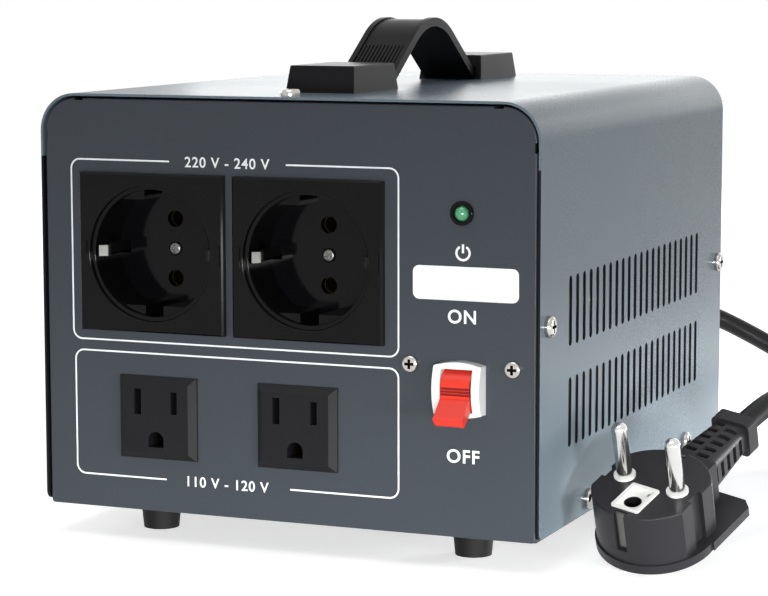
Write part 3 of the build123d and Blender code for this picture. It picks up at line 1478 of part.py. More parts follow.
live_routes = [
    [
        (live_in, gland_end_y, gland_z),
        (live_in, live_turn_y, gland_z),
        (block_ways_x[1], live_turn_y, gland_z),
        (block_ways_x[1], live_turn_y, block_way_z),
        (block_ways_x[1], block_rear_y, block_way_z),
    ],
    [
        (block_ways_x[1], block_front_y, block_way_z),
        (block_ways_x[1], panel_y + switch_lane, block_way_z),
        (block_ways_x[1], panel_y + switch_lane, switch_z - terminal_z),
        (switch_x, panel_y + switch_lane, switch_z - terminal_z),
        (switch_x, clamp_y, switch_z - terminal_z),
    ],
    [
        (core_x, core_y, switch_tap_z),
        (*tap_out(tap_long_reach), switch_tap_z),
        (switch_x, panel_y + feed_lane, switch_z + terminal_z),
        (switch_x, clamp_y, switch_z + terminal_z),
    ],
    [
        (core_x, core_y, eu_live_tap_z),
        (*tap_out(tap_middle_reach), eu_live_tap_z),
        (*tap_out(tap_middle_reach), eu_high),
        (eu_x[1] + half_pair, panel_y + eu_lane, eu_high),
        (eu_x[1] + half_pair, eu_tab_y, eu_high),
    ],
    [
        (core_x, core_y, us_live_tap_z),
        (*tap_out(tap_short_reach), us_live_tap_z),
        (tap_out(tap_short_reach)[0], panel_y + us_live_lane, us_tab_z - half_pair),
        (us_x[1] + us_half, panel_y + us_live_lane, us_tab_z - half_pair),
        (us_x[1] + us_half, us_tab_y, us_tab_z - half_pair),
    ],
]
with BuildPart() as wires_live:
    for route in live_routes:
        add(wire(route, wire_bend))
    add(jumper(eu_x[1] - half_pair, eu_x[0] + half_pair, eu_tab_y, eu_high, eu_loop))
    add(jumper(us_x[1] + us_half, us_x[0] + us_half, us_tab_y, us_tab_z + half_pair, us_live_loop))
save(wires_live.part, "wires_live")

neutral_routes = [
    [
        (neutral_in, gland_end_y, gland_z),
        (neutral_in, neutral_turn_y, gland_z),
        (block_x, neutral_turn_y, gland_z),
        (block_x, neutral_turn_y, block_way_z),
        (block_x, block_y + neutral_shift_start, block_way_z),
        (block_ways_x[0], block_y + neutral_shift_end, block_way_z),
        (block_ways_x[0], block_rear_y, block_way_z),
    ],
    [
        (block_ways_x[0], block_front_y, block_way_z),
        (block_ways_x[0], panel_y + floor_lane, block_way_z),
        (block_ways_x[0], panel_y + floor_lane, floor_tap_z),
        (core_x, core_y, floor_tap_z),
    ],
    [
        (core_x, core_y, eu_neutral_tap_z),
        (*tap_out(tap_short_reach), eu_neutral_tap_z),
        (neutral_riser_x, panel_y + eu_lane, eu_neutral_tap_z),
        (neutral_riser_x, panel_y + eu_lane, eu_low),
        (eu_x[1] + half_pair, panel_y + eu_lane, eu_low),
        (eu_x[1] + half_pair, eu_tab_y, eu_low),
    ],
    [
        (eu_x[0] - half_pair, eu_tab_y, eu_low),
        (eu_x[0] - half_pair, panel_y + jump_lane, eu_low),
        (us_x[0] - us_half, panel_y + jump_lane, us_tab_z + half_pair),
        (us_x[0] - us_half, us_tab_y, us_tab_z + half_pair),
    ],
]
with BuildPart() as wires_neutral:
    for route in neutral_routes:
        add(wire(route, wire_bend))
    add(jumper(eu_x[1] - half_pair, eu_x[0] + half_pair, eu_tab_y, eu_low, eu_loop))
    add(jumper(us_x[0] - us_half, us_x[1] - us_half, us_tab_y, us_tab_z - half_pair, us_neutral_loop))
save(wires_neutral.part, "wires_neutral")

lug_top_z = floor_top_z + lug_sheet
core_tail_x = stud_x + tail_reach
outlet_tail_x = core_tail_x - 2 * wire_pair
riser_x = us_x[1] - riser_shift
earth_routes = [
    [
        (gland_x, gland_end_y, gland_z + core_rise),
        (gland_x, stud_y, gland_z + core_rise),
        (core_tail_x, stud_y, gland_z + core_rise),
        (core_tail_x, stud_y, lug_top_z),
    ],
    [
        (outlet_tail_x, stud_y, lug_top_z),
        (outlet_tail_x, stud_y, earth_crossing_z),
        (outlet_tail_x, panel_y + earth_lane, earth_crossing_z),
        (outlet_tail_x, panel_y + earth_lane, eu_z),
        (outlet_tail_x, strip_y, eu_z),
    ],
    [
        (us_x[1], us_tab_y, us_earth_tab_z + half_pair),
        (riser_x, panel_y + floor_lane, us_earth_tab_z + half_pair),
        (riser_x, panel_y + floor_lane, eu_z),
        (riser_x, strip_y, eu_z),
    ],
]
with BuildPart() as earth_lead:
    with BuildSketch(Plane(origin=(stud_x, stud_y, floor_top_z))):
        Circle(lug_radius)
        Rectangle(lug_length, lug_width, align=(Align.MIN, Align.CENTER))
        Circle(stud_radius + screw_clearance, mode=Mode.SUBTRACT)
    extrude(amount=lug_sheet)
    for route in earth_routes:
        add(wire(route, wire_bend))
    strip_from, strip_to = eu_x[1] - strip_tap_reach, eu_x[0] + strip_tap_reach
    add(jumper(strip_from, strip_to, strip_y, eu_z, strip_loop))
    add(jumper(us_x[1], us_x[0], us_tab_y, us_earth_tab_z - half_pair, us_earth_loop))
save(earth_lead.part, "earth_lead")

# Bend sleeve of the lead: tapered, with rings round it
sleeve_start = back_y + gland_hex_height + gland_dome_height
ring_step = sleeve_length / (2 * sleeve_ribs + 1)
with BuildPart() as cord_sleeve:
    with BuildSketch(Plane.XY.offset(gland_z)):
        with BuildLine():
            corner = (gland_x + sleeve_root_radius, sleeve_start)
            outline = [(gland_x, sleeve_start), corner]
            for step in range(1, 2 * sleeve_ribs + 1):
                share = step / (2 * sleeve_ribs + 1)
                taper = sleeve_root_radius + (sleeve_tip_radius - sleeve_root_radius) * share
                ring_y = sleeve_start + step * ring_step
                low, high = taper - sleeve_rib, taper
                before, after = (high, low) if step % 2 else (low, high)
                outline += [(gland_x + before, ring_y), (gland_x + after, ring_y)]
            sleeve_end = sleeve_start + sleeve_length
            outline += [(gland_x + sleeve_tip_radius, sleeve_end), (gland_x, sleeve_end)]
            Polyline(*outline, close=True)
        make_face()
    revolve(axis=Axis((gland_x, sleeve_start, gland_z), (0, 1, 0)))
save(cord_sleeve.part, "cord_sleeve")


def corner_radii(points):
    """Bend radius at each corner of a route: as large as its two runs allow."""
    radii = []
    for before, corner, after in zip(points, points[1:], points[2:]):
        run_in, run_out = Vector(*corner) - Vector(*before), Vector(*after) - Vector(*corner)
        half_turn = math.radians(run_in.get_angle(run_out)) / 2
        radii.append(bend_share * min(run_in.length, run_out.length) / math.tan(half_turn))
    return radii


def cord_tube(points, name):
    """A stretch of the lead along straight runs that tangent arcs join."""
    radii = corner_radii(points)
    start, second = Vector(*points[0]), Vector(*points[1])
    with BuildPart() as tube:
        with BuildLine() as way:
            FilletPolyline(*points, radius=radii)
        with BuildSketch(Plane(origin=start, z_dir=second - start)):
            Circle(cord_radius)
        sweep(path=way.wire())
    length = way.wire().length
    expected = math.pi * cord_radius**2 * length
    print(name, "radii", [round(radius, 1) for radius in radii])
    print(name, "length", round(length, 1), "volume / expected",
          round(tube.part.volume / expected, 5))
    return tube.part


# Coil: flat spiral in on the surface, a climb while it reverses, flat spiral out on top
coil_turns = coil_whole_turns - (coil_end_angle - coil_start_angle) / 360
coil_reverse = coil_turns / 2


def coil_point(turn):
    """Centre of the lead after so many turns of the coil, clockwise seen from above."""
    since = turn - coil_reverse
    climb = min(max(since / coil_climb_turns + 1 / 2, 0), 1)
    radius = coil_outer_radius - coil_step * (coil_reverse - abs(since))
    angle = math.radians(coil_start_angle - 360 * turn)
    rise = (1 - math.cos(math.pi * climb)) / 2
    return Vector(
        coil_x + radius * math.cos(angle),
        coil_y + radius * math.sin(angle),
        cord_radius + coil_step * rise,
    )


def coil_heading(turn):
    """Unit vector along the lead at a place of the coil, level at both ends."""
    ahead = coil_point(min(turn + turn_step, coil_turns))
    astern = coil_point(max(turn - turn_step, 0))
    return (ahead - astern).normalized()


station_count = round(coil_reverse * coil_stations_per_turn)
stations = [index * coil_reverse / station_count for index in range(2 * station_count + 1)]
arc_pairs = []
for here, there in zip(stations, stations[1:]):
    start, end = coil_point(here), coil_point(there)
    out, back = coil_heading(here), coil_heading(there)
    chord, pull = end - start, out + back
    stiff = 2 * (1 - out.dot(back))
    bend = chord.dot(pull)
    reach = (math.sqrt(bend**2 + stiff * chord.dot(chord)) - bend) / stiff
    middle = (start + end + (out - back) * reach) * 0.5
    arc_pairs.append((start, middle, end, out, (end - back * reach - start - out * reach).normalized()))
coil_begin, coil_end = coil_point(0), coil_point(coil_turns)
coil_lead_in = coil_begin - coil_heading(0) * (2 * cord_radius)
coil_lead_out = coil_end + coil_heading(coil_turns) * (2 * cord_radius)
with BuildPart() as cord_coil:
    with BuildLine() as coil_way:
        Line(coil_lead_in, coil_begin)
        for start, middle, end, out, through in arc_pairs:
            TangentArc(start, middle, tangent=out)
            TangentArc(middle, end, tangent=through)
        Line(coil_end, coil_lead_out)
    with BuildSketch(Plane(origin=coil_lead_in, z_dir=coil_heading(0))):
        Circle(cord_radius)
    sweep(path=coil_way.wire())
save(cord_coil.part, "cord_coil")
coil_length = coil_way.wire().length
coil_expected = math.pi * cord_radius**2 * coil_length
print("cord_coil length", round(coil_length, 1), "volume / expected",
      round(cord_coil.part.volume / coil_expected, 5))
sample_count = int(coil_turns * coil_samples_per_turn)
samples = [coil_point(index / coil_samples_per_turn) for index in range(sample_count + 1)]
half_turn_on = coil_samples_per_turn // 2
least = min(
    (samples[i] - samples[j]).length
    for i in range(len(samples))
    for j in range(i + half_turn_on, len(samples))
)
print("cord_coil least gap to itself", round(least - 2 * cord_radius, 2))

# Lead from the gland to the coil
upper_route = [
    (gland_x, sleeve_end, gland_z),
    (gland_x, 151.0, gland_z),
    (42.0, 170.5, 50.5),
    (56.5, 186.0, 43.5),
    (75.5, 194.0, 33.0),
    (96.0, 194.5, 21.5),
    (115.5, 187.0, 12.0),
    (134.0, 173.0, 6.0),
    tuple(coil_lead_in - coil_heading(0) * coil_run_in),
    tuple(coil_lead_in),
]
save(cord_tube(upper_route, "cord_upper"), "cord_upper")

# Plug frame: the face's middle, the way the lead leaves, and the way the pins point
view_forward = Vector(-math.sin(math.radians(view_heading)), math.cos(math.radians(view_heading)), 0)
view_right = Vector(math.cos(math.radians(view_heading)), math.sin(math.radians(view_heading)), 0)
heading = math.radians(plug_heading)
lead_way = view_forward * math.cos(heading) + view_right * math.sin(heading)
lean = math.radians(plug_lean)
tilt = math.radians(plug_tilt)
lean_way = view_forward * -math.cos(lean) - view_right * math.sin(lean)
pin_way = Vector(0, 0, 1) * math.cos(tilt) + lean_way * math.sin(tilt)
lead_way = (lead_way - pin_way * lead_way.dot(pin_way)).normalized()
plug_thickness = plug_body_height + plug_base_sheet
plug_face_z = plug_thickness * pin_way.Z + plug_base_radius * math.sin(tilt)
plug_face = Plane(
    origin=(plug_face_x, plug_face_y, plug_face_z), x_dir=lead_way, z_dir=pin_way
)
neck_middle = (plug_neck_top + plug_body_height) / 2
with BuildPart() as plug_body:
    with BuildSketch(plug_face):
        Circle(plug_radius)
        trim = plug_radius - plug_flat_reach
        for side in mirror_x:
            with Locations((0, side * (plug_flat_reach + trim / 2))):
                Rectangle(2 * plug_radius, trim, mode=Mode.SUBTRACT)
    extrude(amount=-plug_body_height)
    face_rim = plug_body.faces().sort_by(Axis(plug_face.origin, plug_face.z_dir))[-1]
    fillet(face_rim.edges(), plug_edge_radius)
    with BuildSketch(plug_face):
        for side in mirror_x:
            with Locations((0, side * (plug_flat_reach - plug_groove_depth / 2))):
                Rectangle(plug_groove_width, plug_groove_depth)
    extrude(amount=-plug_body_height, mode=Mode.SUBTRACT)
    with BuildSketch(plug_face.offset(-plug_body_height)):
        Circle(plug_base_radius)
        with Locations((plug_base_start, 0)):
            base_run = plug_base_reach - plug_base_start
            Rectangle(base_run, plug_base_width, align=(Align.MIN, Align.CENTER))
        chamfer(vertices().group_by(Axis.X)[-1], plug_base_corner)
    extrude(amount=-plug_base_sheet)
    with BuildSketch(plug_face.offset(-plug_neck_top)):
        Rectangle(plug_neck_reach, plug_neck_width, align=(Align.MIN, Align.CENTER))
    extrude(amount=-(plug_body_height - plug_neck_top))
    with BuildSketch(plug_face):
        with Locations((insert_length / 2 - insert_outer, 0)):
            RectangleRounded(insert_length, insert_width, insert_corner)
    extrude(amount=-insert_depth, mode=Mode.SUBTRACT)
    with BuildSketch(plug_face):
        with Locations((-insert_hole_offset, 0)):
            Circle(insert_hole_radius + insert_hole_step)
    extrude(amount=-insert_hole_depth, mode=Mode.SUBTRACT)
    with BuildSketch(plug_face):
        with Locations((0, -eu_pin_spacing / 2), (0, eu_pin_spacing / 2)):
            Circle(plug_pin_neck_radius)
    extrude(amount=-plug_pin_root, mode=Mode.SUBTRACT)
    clip_inner = plug_clip_reach - plug_clip_thickness - plug_clip_play
    with BuildSketch(plug_face):
        for side in mirror_x:
            with Locations((side * (clip_inner + plug_radius) / 2, 0)):
                Rectangle(plug_radius - clip_inner + overrun, plug_slot_width)
    extrude(amount=-(plug_clip_length + plug_clip_play), mode=Mode.SUBTRACT)
save(plug_body.part, "plug_body")
insert_middle = insert_length / 2 - insert_outer
with BuildPart() as plug_insert:
    with BuildSketch(plug_face.offset(insert_proud)):
        with Locations((insert_middle, 0)):
            RectangleRounded(insert_length, insert_width, insert_corner)
    extrude(amount=-(insert_depth + insert_proud))
    with BuildSketch(plug_face.offset(insert_proud)):
        with Locations((insert_middle, 0)):
            Rectangle(insert_length - 2 * insert_rim, insert_width - 2 * insert_rim)
    extrude(amount=-insert_recess, mode=Mode.SUBTRACT)
    with BuildSketch(plug_face.offset(insert_proud)):
        with Locations((-insert_hole_offset, 0)):
            Circle(insert_hole_radius)
    extrude(amount=-(insert_depth + insert_proud), mode=Mode.SUBTRACT)
    with BuildSketch(plug_face.offset(insert_proud - insert_recess)):
        with Locations(insert_notch_place):
            Rectangle(*insert_notch)
    extrude(amount=-insert_notch_depth, mode=Mode.SUBTRACT)
    with BuildSketch(plug_face):
        for side in mirror_x:
            with Locations((0, side * eu_pin_spacing / 2)):
                Circle(plug_collar_radius)
                Circle(plug_pin_neck_radius, mode=Mode.SUBTRACT)
    extrude(amount=plug_collar_height)
save(plug_insert.part, "plug_insert")
with BuildPart() as plug_pins:
    for side in mirror_x:
        with BuildSketch(plug_face.offset(plug_pin_shoulder)):
            with Locations((0, side * eu_pin_spacing / 2)):
                Circle(plug_pin_radius)
        extrude(amount=plug_pin_length - plug_pin_shoulder)
        with BuildSketch(plug_face.offset(plug_pin_shoulder)):
            with Locations((0, side * eu_pin_spacing / 2)):
                Circle(plug_pin_neck_radius)
        extrude(amount=-(plug_pin_shoulder + plug_pin_root))
    tips = plug_pins.edges().filter_by(GeomType.CIRCLE)
    tips = tips.sort_by(Axis(plug_face.origin, plug_face.z_dir))[-2:]
    fillet(tips, plug_pin_radius * plug_pin_tip_share)
save(plug_pins.part, "plug_pins")
with BuildPart() as plug_clips:
    with BuildSketch(plug_face):
        for side in mirror_x:
            clip_middle = plug_clip_reach - plug_clip_thickness / 2 - plug_clip_play / 2
            with Locations((side * clip_middle, 0)):
                Rectangle(plug_clip_thickness, plug_clip_width)
    extrude(amount=-plug_clip_length)
save(plug_clips.part, "plug_clips")

# Strain relief of the plug: tapered, with staggered slots and a collar at the lead's end
relief_spot = Plane(
    origin=plug_face.from_local_coords((plug_neck_reach, 0, -neck_middle)),
    x_dir=plug_face.y_dir,
    z_dir=plug_face.x_dir,
)
relief_run = relief_length - relief_collar[2]
relief_pitch = relief_run / (relief_slot_count + 1 / 2)
top_slot_x = relief_top_slot[1]
with BuildPart() as plug_relief:
    with BuildSketch(relief_spot):
        RectangleRounded(*relief_root, relief_corner)
    with BuildSketch(relief_spot.offset(relief_run)):
        RectangleRounded(*relief_tip, relief_corner)
    loft(ruled=True)
    with BuildSketch(relief_spot.offset(relief_run)):
        RectangleRounded(relief_collar[0], relief_collar[1], relief_collar_corner)
    extrude(amount=relief_collar[2])
    for step in range(relief_slot_count):
        for up in mirror_x:
            for side in mirror_x:
                row = (1 + up * side) / 4
                along = (step + 1 / 2 + row) * relief_pitch
                with BuildSketch(relief_spot.offset(along - relief_slot_width / 2)):
                    with Locations((side * top_slot_x, up * (relief_slot_inset[1] + relief_root[1] / 2))):
                        Rectangle(relief_top_slot[0], relief_root[1])
                extrude(amount=relief_slot_width, mode=Mode.SUBTRACT)
        for side in mirror_x:
            along = (step + 1 / 2) * relief_pitch
            with BuildSketch(relief_spot.offset(along - relief_slot_width / 2)):
                with Locations((side * (relief_slot_inset[0] + relief_root[0] / 2), 0)):
                    Rectangle(relief_root[0], relief_side_slot)
            extrude(amount=relief_slot_width, mode=Mode.SUBTRACT)
save(plug_relief.part, "plug_relief")

# Lead from the plug to the coil
relief_end = relief_spot.from_local_coords((0, 0, relief_length))
lower_route = [
    tuple(relief_end),
    tuple(relief_end + lead_way * plug_run_out),
    (137.0, 1.0, 44.0),
    (143.0, 15.5, 40.0),
    (150.0, 27.0, 31.5),
    (163.5, 38.0, 17.0),
    tuple(coil_lead_out + coil_heading(coil_turns) * coil_run_out),
    tuple(coil_lead_out),
]
save(cord_tube(lower_route, "cord_lower"), "cord_lower")
print("relief end", tuple(round(value, 2) for value in relief_end))
print("lead way", tuple(round(value, 4) for value in lead_way))
print("coil ends", tuple(coil_lead_in), tuple(coil_lead_out))
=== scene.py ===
# %% [markdown]
# # A desk-top voltage converter
# The converter is a folded steel case round a ring transformer. Its front carries two
# European and two American outlets, a green lamp and a breaker switch. This lesson dresses
# the finished construction: the shapes of its parts come ready from the frame, and each cell
# adds one finish or one piece that a construction model leaves out.

# %% Load the fixed frame
import math

import bmesh
import bpy
from mathutils import Matrix, Vector


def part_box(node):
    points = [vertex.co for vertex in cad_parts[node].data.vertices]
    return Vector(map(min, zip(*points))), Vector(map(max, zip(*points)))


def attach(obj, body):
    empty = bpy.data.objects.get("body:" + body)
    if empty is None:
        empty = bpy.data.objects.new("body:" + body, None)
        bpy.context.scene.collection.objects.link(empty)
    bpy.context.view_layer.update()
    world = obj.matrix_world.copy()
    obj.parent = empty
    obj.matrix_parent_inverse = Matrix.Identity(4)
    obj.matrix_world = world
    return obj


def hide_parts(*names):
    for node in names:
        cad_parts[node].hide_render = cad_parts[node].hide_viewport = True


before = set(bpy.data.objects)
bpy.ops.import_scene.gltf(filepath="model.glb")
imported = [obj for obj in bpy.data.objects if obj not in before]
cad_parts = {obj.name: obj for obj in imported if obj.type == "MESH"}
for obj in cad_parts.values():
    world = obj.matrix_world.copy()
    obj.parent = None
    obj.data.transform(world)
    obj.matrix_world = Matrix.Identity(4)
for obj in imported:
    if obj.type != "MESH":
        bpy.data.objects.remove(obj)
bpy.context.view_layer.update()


def placed(name, data):
    """A new object of the scene that shows a mesh, a curve, a lamp or a camera."""
    item = bpy.data.objects.new(name, data)
    bpy.context.scene.collection.objects.link(item)
    return item


# %% [markdown]
# ## The camera
# A photograph is matched by a camera with the same place, the same direction and the same
# angle of view. The angle comes from a focal length counted in picture pixels, which is
# turned into millimetres of lens for a sensor as wide as the picture. The camera is turned
# by three plain rotations, because they can be read one at a time.

# %% Camera
picture_width = 768
focal_pixels = 2601.4
sensor_width = 36.0
camera_place = (0.3342, -0.8202, 0.1806)
camera_turn = 22.63
camera_dip = 7.203
camera_roll = -0.064
camera_data = bpy.data.cameras.new("photo_camera")
camera_data.sensor_width = sensor_width
camera_data.lens = focal_pixels * sensor_width / picture_width
camera = placed("photo_camera", camera_data)
aim = Matrix.Rotation(math.radians(camera_turn), 4, "Z")
aim = aim @ Matrix.Rotation(math.radians(90 - camera_dip), 4, "X")
aim = aim @ Matrix.Rotation(math.radians(camera_roll), 4, "Z")
camera.matrix_world = Matrix.Translation(camera_place) @ aim
bpy.context.scene.camera = camera
print("lens", round(camera_data.lens, 2), "mm")

# %% [markdown]
# ## The mains lead
# A lead is one smooth curve, so it is one open NURBS spline whose control points are the
# points of its route. It leaves the bend sleeve at the back, sinks to the floor, is put away
# in a flat coil beside the case, and comes back to the plug. A loop works out the coil's
# turns: the spiral runs in along the floor, climbs while it reverses, and runs out on top.
# Five turns less a gap bring the lead out of the coil towards the plug. The spline's order
# and end rule are set after its points, because before them they are ignored.

# %% Coil of the lead
lead_radius = 0.0036
coil_middle = Vector((0.158, 0.100))
coil_outer = 0.0478
coil_step = 0.0078
coil_start = 65.0
coil_whole_turns = 5
coil_gap = 250.0
coil_turns = coil_whole_turns - coil_gap / 360.0
coil_points_per_turn = 32
climb_turns = 0.5


def coil_point(turn):
    """Centre of the lead after so many turns, clockwise seen from above."""
    since = turn - coil_turns / 2
    radius = coil_outer - coil_step * (coil_turns / 2 - abs(since))
    angle = math.radians(coil_start - 360 * turn)
    climb = min(max(since / climb_turns + 0.5, 0), 1)
    rise = (1 - math.cos(math.pi * climb)) / 2
    x = coil_middle.x + radius * math.cos(angle)
    y = coil_middle.y + radius * math.sin(angle)
    return Vector((x, y, lead_radius + coil_step * rise))


def coil_heading(turn):
    """Unit vector along the lead at one place of the coil."""
    small = 0.001
    ahead = coil_point(min(turn + small, coil_turns))
    return (ahead - coil_point(max(turn - small, 0))).normalized()


point_count = round(coil_turns * coil_points_per_turn)
in_the_coil = [coil_point(coil_turns * index / point_count) for index in range(point_count + 1)]
print("coil", round(coil_turns, 2), "turns,", len(in_the_coil), "points")

# %% Route of the lead
straight_end = 2 * lead_radius
sleeve_end = Vector((0.035, 0.1311, 0.054))
relief_end = Vector((0.12575, -0.02826, 0.03632))
relief_way = Vector((0.3045, 0.8655, 0.3978))
coil_in = coil_point(0) - coil_heading(0) * straight_end
coil_out = coil_point(coil_turns) + coil_heading(coil_turns) * straight_end
from_the_case = [
    sleeve_end,
    (0.035, 0.151, 0.054),
    (0.042, 0.1705, 0.0505),
    (0.0565, 0.186, 0.0435),
    (0.0755, 0.194, 0.033),
    (0.096, 0.1945, 0.0215),
    (0.1155, 0.187, 0.012),
    (0.134, 0.173, 0.006),
    coil_in - coil_heading(0) * 0.020,
    coil_in,
]
to_the_plug = [
    coil_out,
    coil_out + coil_heading(coil_turns) * 0.0145,
    (0.1635, 0.038, 0.017),
    (0.150, 0.027, 0.0315),
    (0.143, 0.0155, 0.040),
    (0.137, 0.001, 0.044),
    relief_end + relief_way * 0.0165,
    relief_end,
]
route = [Vector(point) for point in from_the_case + in_the_coil + to_the_plug]
route_length = sum((after - before).length for before, after in zip(route, route[1:]))
print("route points", len(route), "length", round(route_length, 3), "m")

# %% Spline of the lead
lead_curve = bpy.data.curves.new("mains_lead", "CURVE")
lead_curve.dimensions = "3D"
lead_curve.resolution_u = 10
lead_curve.bevel_depth = lead_radius
lead_curve.bevel_resolution = 6
lead_spline = lead_curve.splines.new("NURBS")
lead_spline.points.add(len(route) - 1)
for point, place in zip(lead_spline.points, route):
    point.co = (*place, 1.0)
lead_spline.order_u = 3
lead_spline.use_endpoint_u = True
mains_lead = placed("mains_lead", lead_curve)
print("lead", round(2000 * lead_radius, 1), "mm thick")

# %% [markdown]
# ## A small language for nodes
# A procedural finish is a sum of patterns, and a sum is easier to read as one line than as a
# picture of nodes. `Value` wraps one output socket. Its operators add Math nodes, also with
# a plain number on the left, as in `1 - mask`. `Tree` holds a tree of nodes and makes every
# other kind of node in one method, which sets the node's settings first and its sockets
# last. `Finish` is the tree of one material, with the few patterns that all finishes share.


# %% Value
def fill(tree, socket, value):
    """Links a Value, or each of a list of them, to a socket, or stores a plain value in it."""
    for part in value if isinstance(value, list) else [value]:
        if isinstance(part, Value):
            tree.links.new(part.socket, socket)
        else:
            socket.default_value = part


class Value:
    """One output socket that takes part in sums."""

    def __init__(self, maker, socket):
        self.maker = maker
        self.socket = socket

    def math(self, operation, first, second):
        """A Math node of two values."""
        sockets = {0: first, 1: second}
        return self.maker.node("ShaderNodeMath", {"operation": operation}, sockets)

    def __add__(self, other):
        return self.math("ADD", self, other)

    def __radd__(self, other):
        return self.math("ADD", other, self)

    def __sub__(self, other):
        return self.math("SUBTRACT", self, other)

    def __rsub__(self, other):
        return self.math("SUBTRACT", other, self)

    def __mul__(self, other):
        return self.math("MULTIPLY", self, other)

    def __rmul__(self, other):
        return self.math("MULTIPLY", other, self)

    def __or__(self, other):
        return self.math("MAXIMUM", self, other)

    def __ror__(self, other):
        return self.math("MAXIMUM", other, self)

    def __abs__(self):
        return self.math("ABSOLUTE", self, 0.0)

    def __gt__(self, other):
        return self.math("GREATER_THAN", self, other)

    def __lt__(self, other):
        return self.math("LESS_THAN", self, other)


# %% Tree
class Tree:
    """A tree of nodes, with the one method that makes them."""

    def __init__(self, tree):
        self.tree = tree

    def node(self, kind, settings=None, sockets=None, output=0):
        """Any node: its settings are set first, then its sockets. Gives one of its outputs."""
        node = self.tree.nodes.new(kind)
        for name, value in (settings or {}).items():
            setattr(node, name, value)
        for name, value in (sockets or {}).items():
            fill(self.tree, node.inputs[name], value)
        return Value(self, node.outputs[output]) if node.outputs else None


# %% Finish
class Finish(Tree):
    """The tree of one material, with its shader and the patterns that finishes share."""

    def __init__(self, name, **constants):
        self.material = bpy.data.materials.new(name)
        self.material.use_nodes = True
        super().__init__(self.material.node_tree)
        self.shader = self.tree.nodes["Principled BSDF"]
        for words, value in constants.items():
            socket = words.replace("_", " ").title().replace("Ior", "IOR")
            self.shader.inputs[socket].default_value = value
        self.place = self.node("ShaderNodeTexCoord", output="Object")

    def drive(self, name, value):
        """Feeds one socket of the shader."""
        fill(self.tree, self.shader.inputs[name], value)

    def paint(self, colour):
        """Gives the surface its colour, and keeps it for painted shade laid over it."""
        self.colour = colour
        self.drive("Base Color", colour)

    def lay_shade(self, mask, colour):
        """Lays another colour over the finish where a mask is 1: each such colour here is painted
        shade.
        """
        self.paint(self.mix(mask, self.colour, colour))

    def bump(self, height, depth, strength):
        """A Bump node on the shader's normal: depth is in metres."""
        sockets = {"Height": height, "Distance": depth, "Strength": strength}
        self.drive("Normal", self.node("ShaderNodeBump", sockets=sockets, output="Normal"))

    def mix(self, share, first, second):
        """A colour between two colours."""
        # A Mix node has sockets for each kind of data. Inputs 6 and 7 and output 2 are colours.
        sockets = {0: share, 6: first, 7: second}
        return self.node("ShaderNodeMix", {"data_type": "RGBA"}, sockets, 2)

    def noise(self, scale, detail, stretch=(1, 1, 1)):
        """Noise from 0 to 1, with so many blobs in a metre, longer where stretch is small."""
        place = self.node("ShaderNodeMapping", sockets={"Vector": self.place, "Scale": stretch})
        sockets = {"Vector": place, "Scale": scale, "Detail": detail}
        return self.node("ShaderNodeTexNoise", sockets=sockets, output="Fac")

    def along(self, letter):
        """How far each place is along X, Y or Z."""
        return self.node("ShaderNodeSeparateXYZ", sockets={"Vector": self.place}, output=letter)

    def vector(self, operation, sockets, output=0):
        """A Vector Math node."""
        return self.node("ShaderNodeVectorMath", {"operation": operation}, sockets, output)

    def from_axis(self, point, axis, place=None):
        """Distance of each place from the line that runs through a point along an axis."""
        arm = self.vector("SUBTRACT", {0: place or self.place, 1: point})
        side = self.vector("CROSS_PRODUCT", {0: arm, 1: axis})
        return self.vector("LENGTH", {0: side}, "Value")


# %% Colours and sums that finishes share
def linear(red, green, blue):
    """A colour given as a screen shows it, 0 to 255, turned into the light it stands for."""
    shares = [channel / 255 for channel in (red, green, blue)]
    lights = [s / 12.92 if s <= 0.04045 else ((s + 0.055) / 1.055) ** 2.4 for s in shares]
    return (*lights, 1.0)


def shaded(colour, gain, lift=0.0):
    """A colour made lighter or darker by a gain and a lift."""
    return tuple(min(1.0, channel * gain + lift) for channel in colour[:3]) + (1.0,)


def blended(first, second, share):
    """Two patterns added up: the first has a share of the weight, the second the rest."""
    return first * share + second * (1 - share)


def swinging(middle, *swings):
    """A number that swings about its middle by patterns: (pattern, width of its swing) each."""
    total = middle
    for pattern, width in swings:
        total = total + (pattern - 0.5) * width
    return total


def dress(finish, *names):
    """Gives a finish to construction nodes, in place of what they had."""
    for name in names:
        mesh = bpy.data.objects[name].data
        mesh.materials.clear()
        mesh.materials.append(finish.material)
    print(finish.material.name, "on", ", ".join(names))


print("mid grey", [round(channel, 3) for channel in linear(128, 128, 128)])

# %% [markdown]
# ## Floor and light
# The object stands on a plain white floor. The camera has to see a white background, and the
# object has to be lit at a plain level, so the two are kept apart: Light Path tells a ray
# from the camera, or from a mirror-like surface, from one that carries light. The floor stays
# a real surface, so it keeps the shadows, and for the rays that see it, it glows a little
# more towards its far parts.

# %% Floor
floor_size = 6.0
floor_white = 0.80
floor_glow = 0.60
floor_glow_far = 0.80


def seen_rays(tree):
    """1 for rays from the camera, from shiny and from clear surfaces, and 0 for the others."""
    kinds = ("Is Camera Ray", "Is Glossy Ray", "Is Transmission Ray")
    camera_ray, shiny_ray, clear_ray = (
        tree.node("ShaderNodeLightPath", output=kind) for kind in kinds
    )
    return camera_ray | shiny_ray | clear_ray


def between(tree, share, low, high):
    """A value that goes from low to high while a share goes from 0 to 1, and no further."""
    sockets = {"Value": share, "To Min": low, "To Max": high}
    return tree.node("ShaderNodeMapRange", sockets=sockets, output="Result")


half = floor_size / 2
floor_mesh = bpy.data.meshes.new("floor")
floor_corners = [(-half, -half, 0), (half, -half, 0), (half, half, 0), (-half, half, 0)]
floor_mesh.from_pydata(floor_corners, [], [(0, 1, 2, 3)])
floor = placed("floor", floor_mesh)

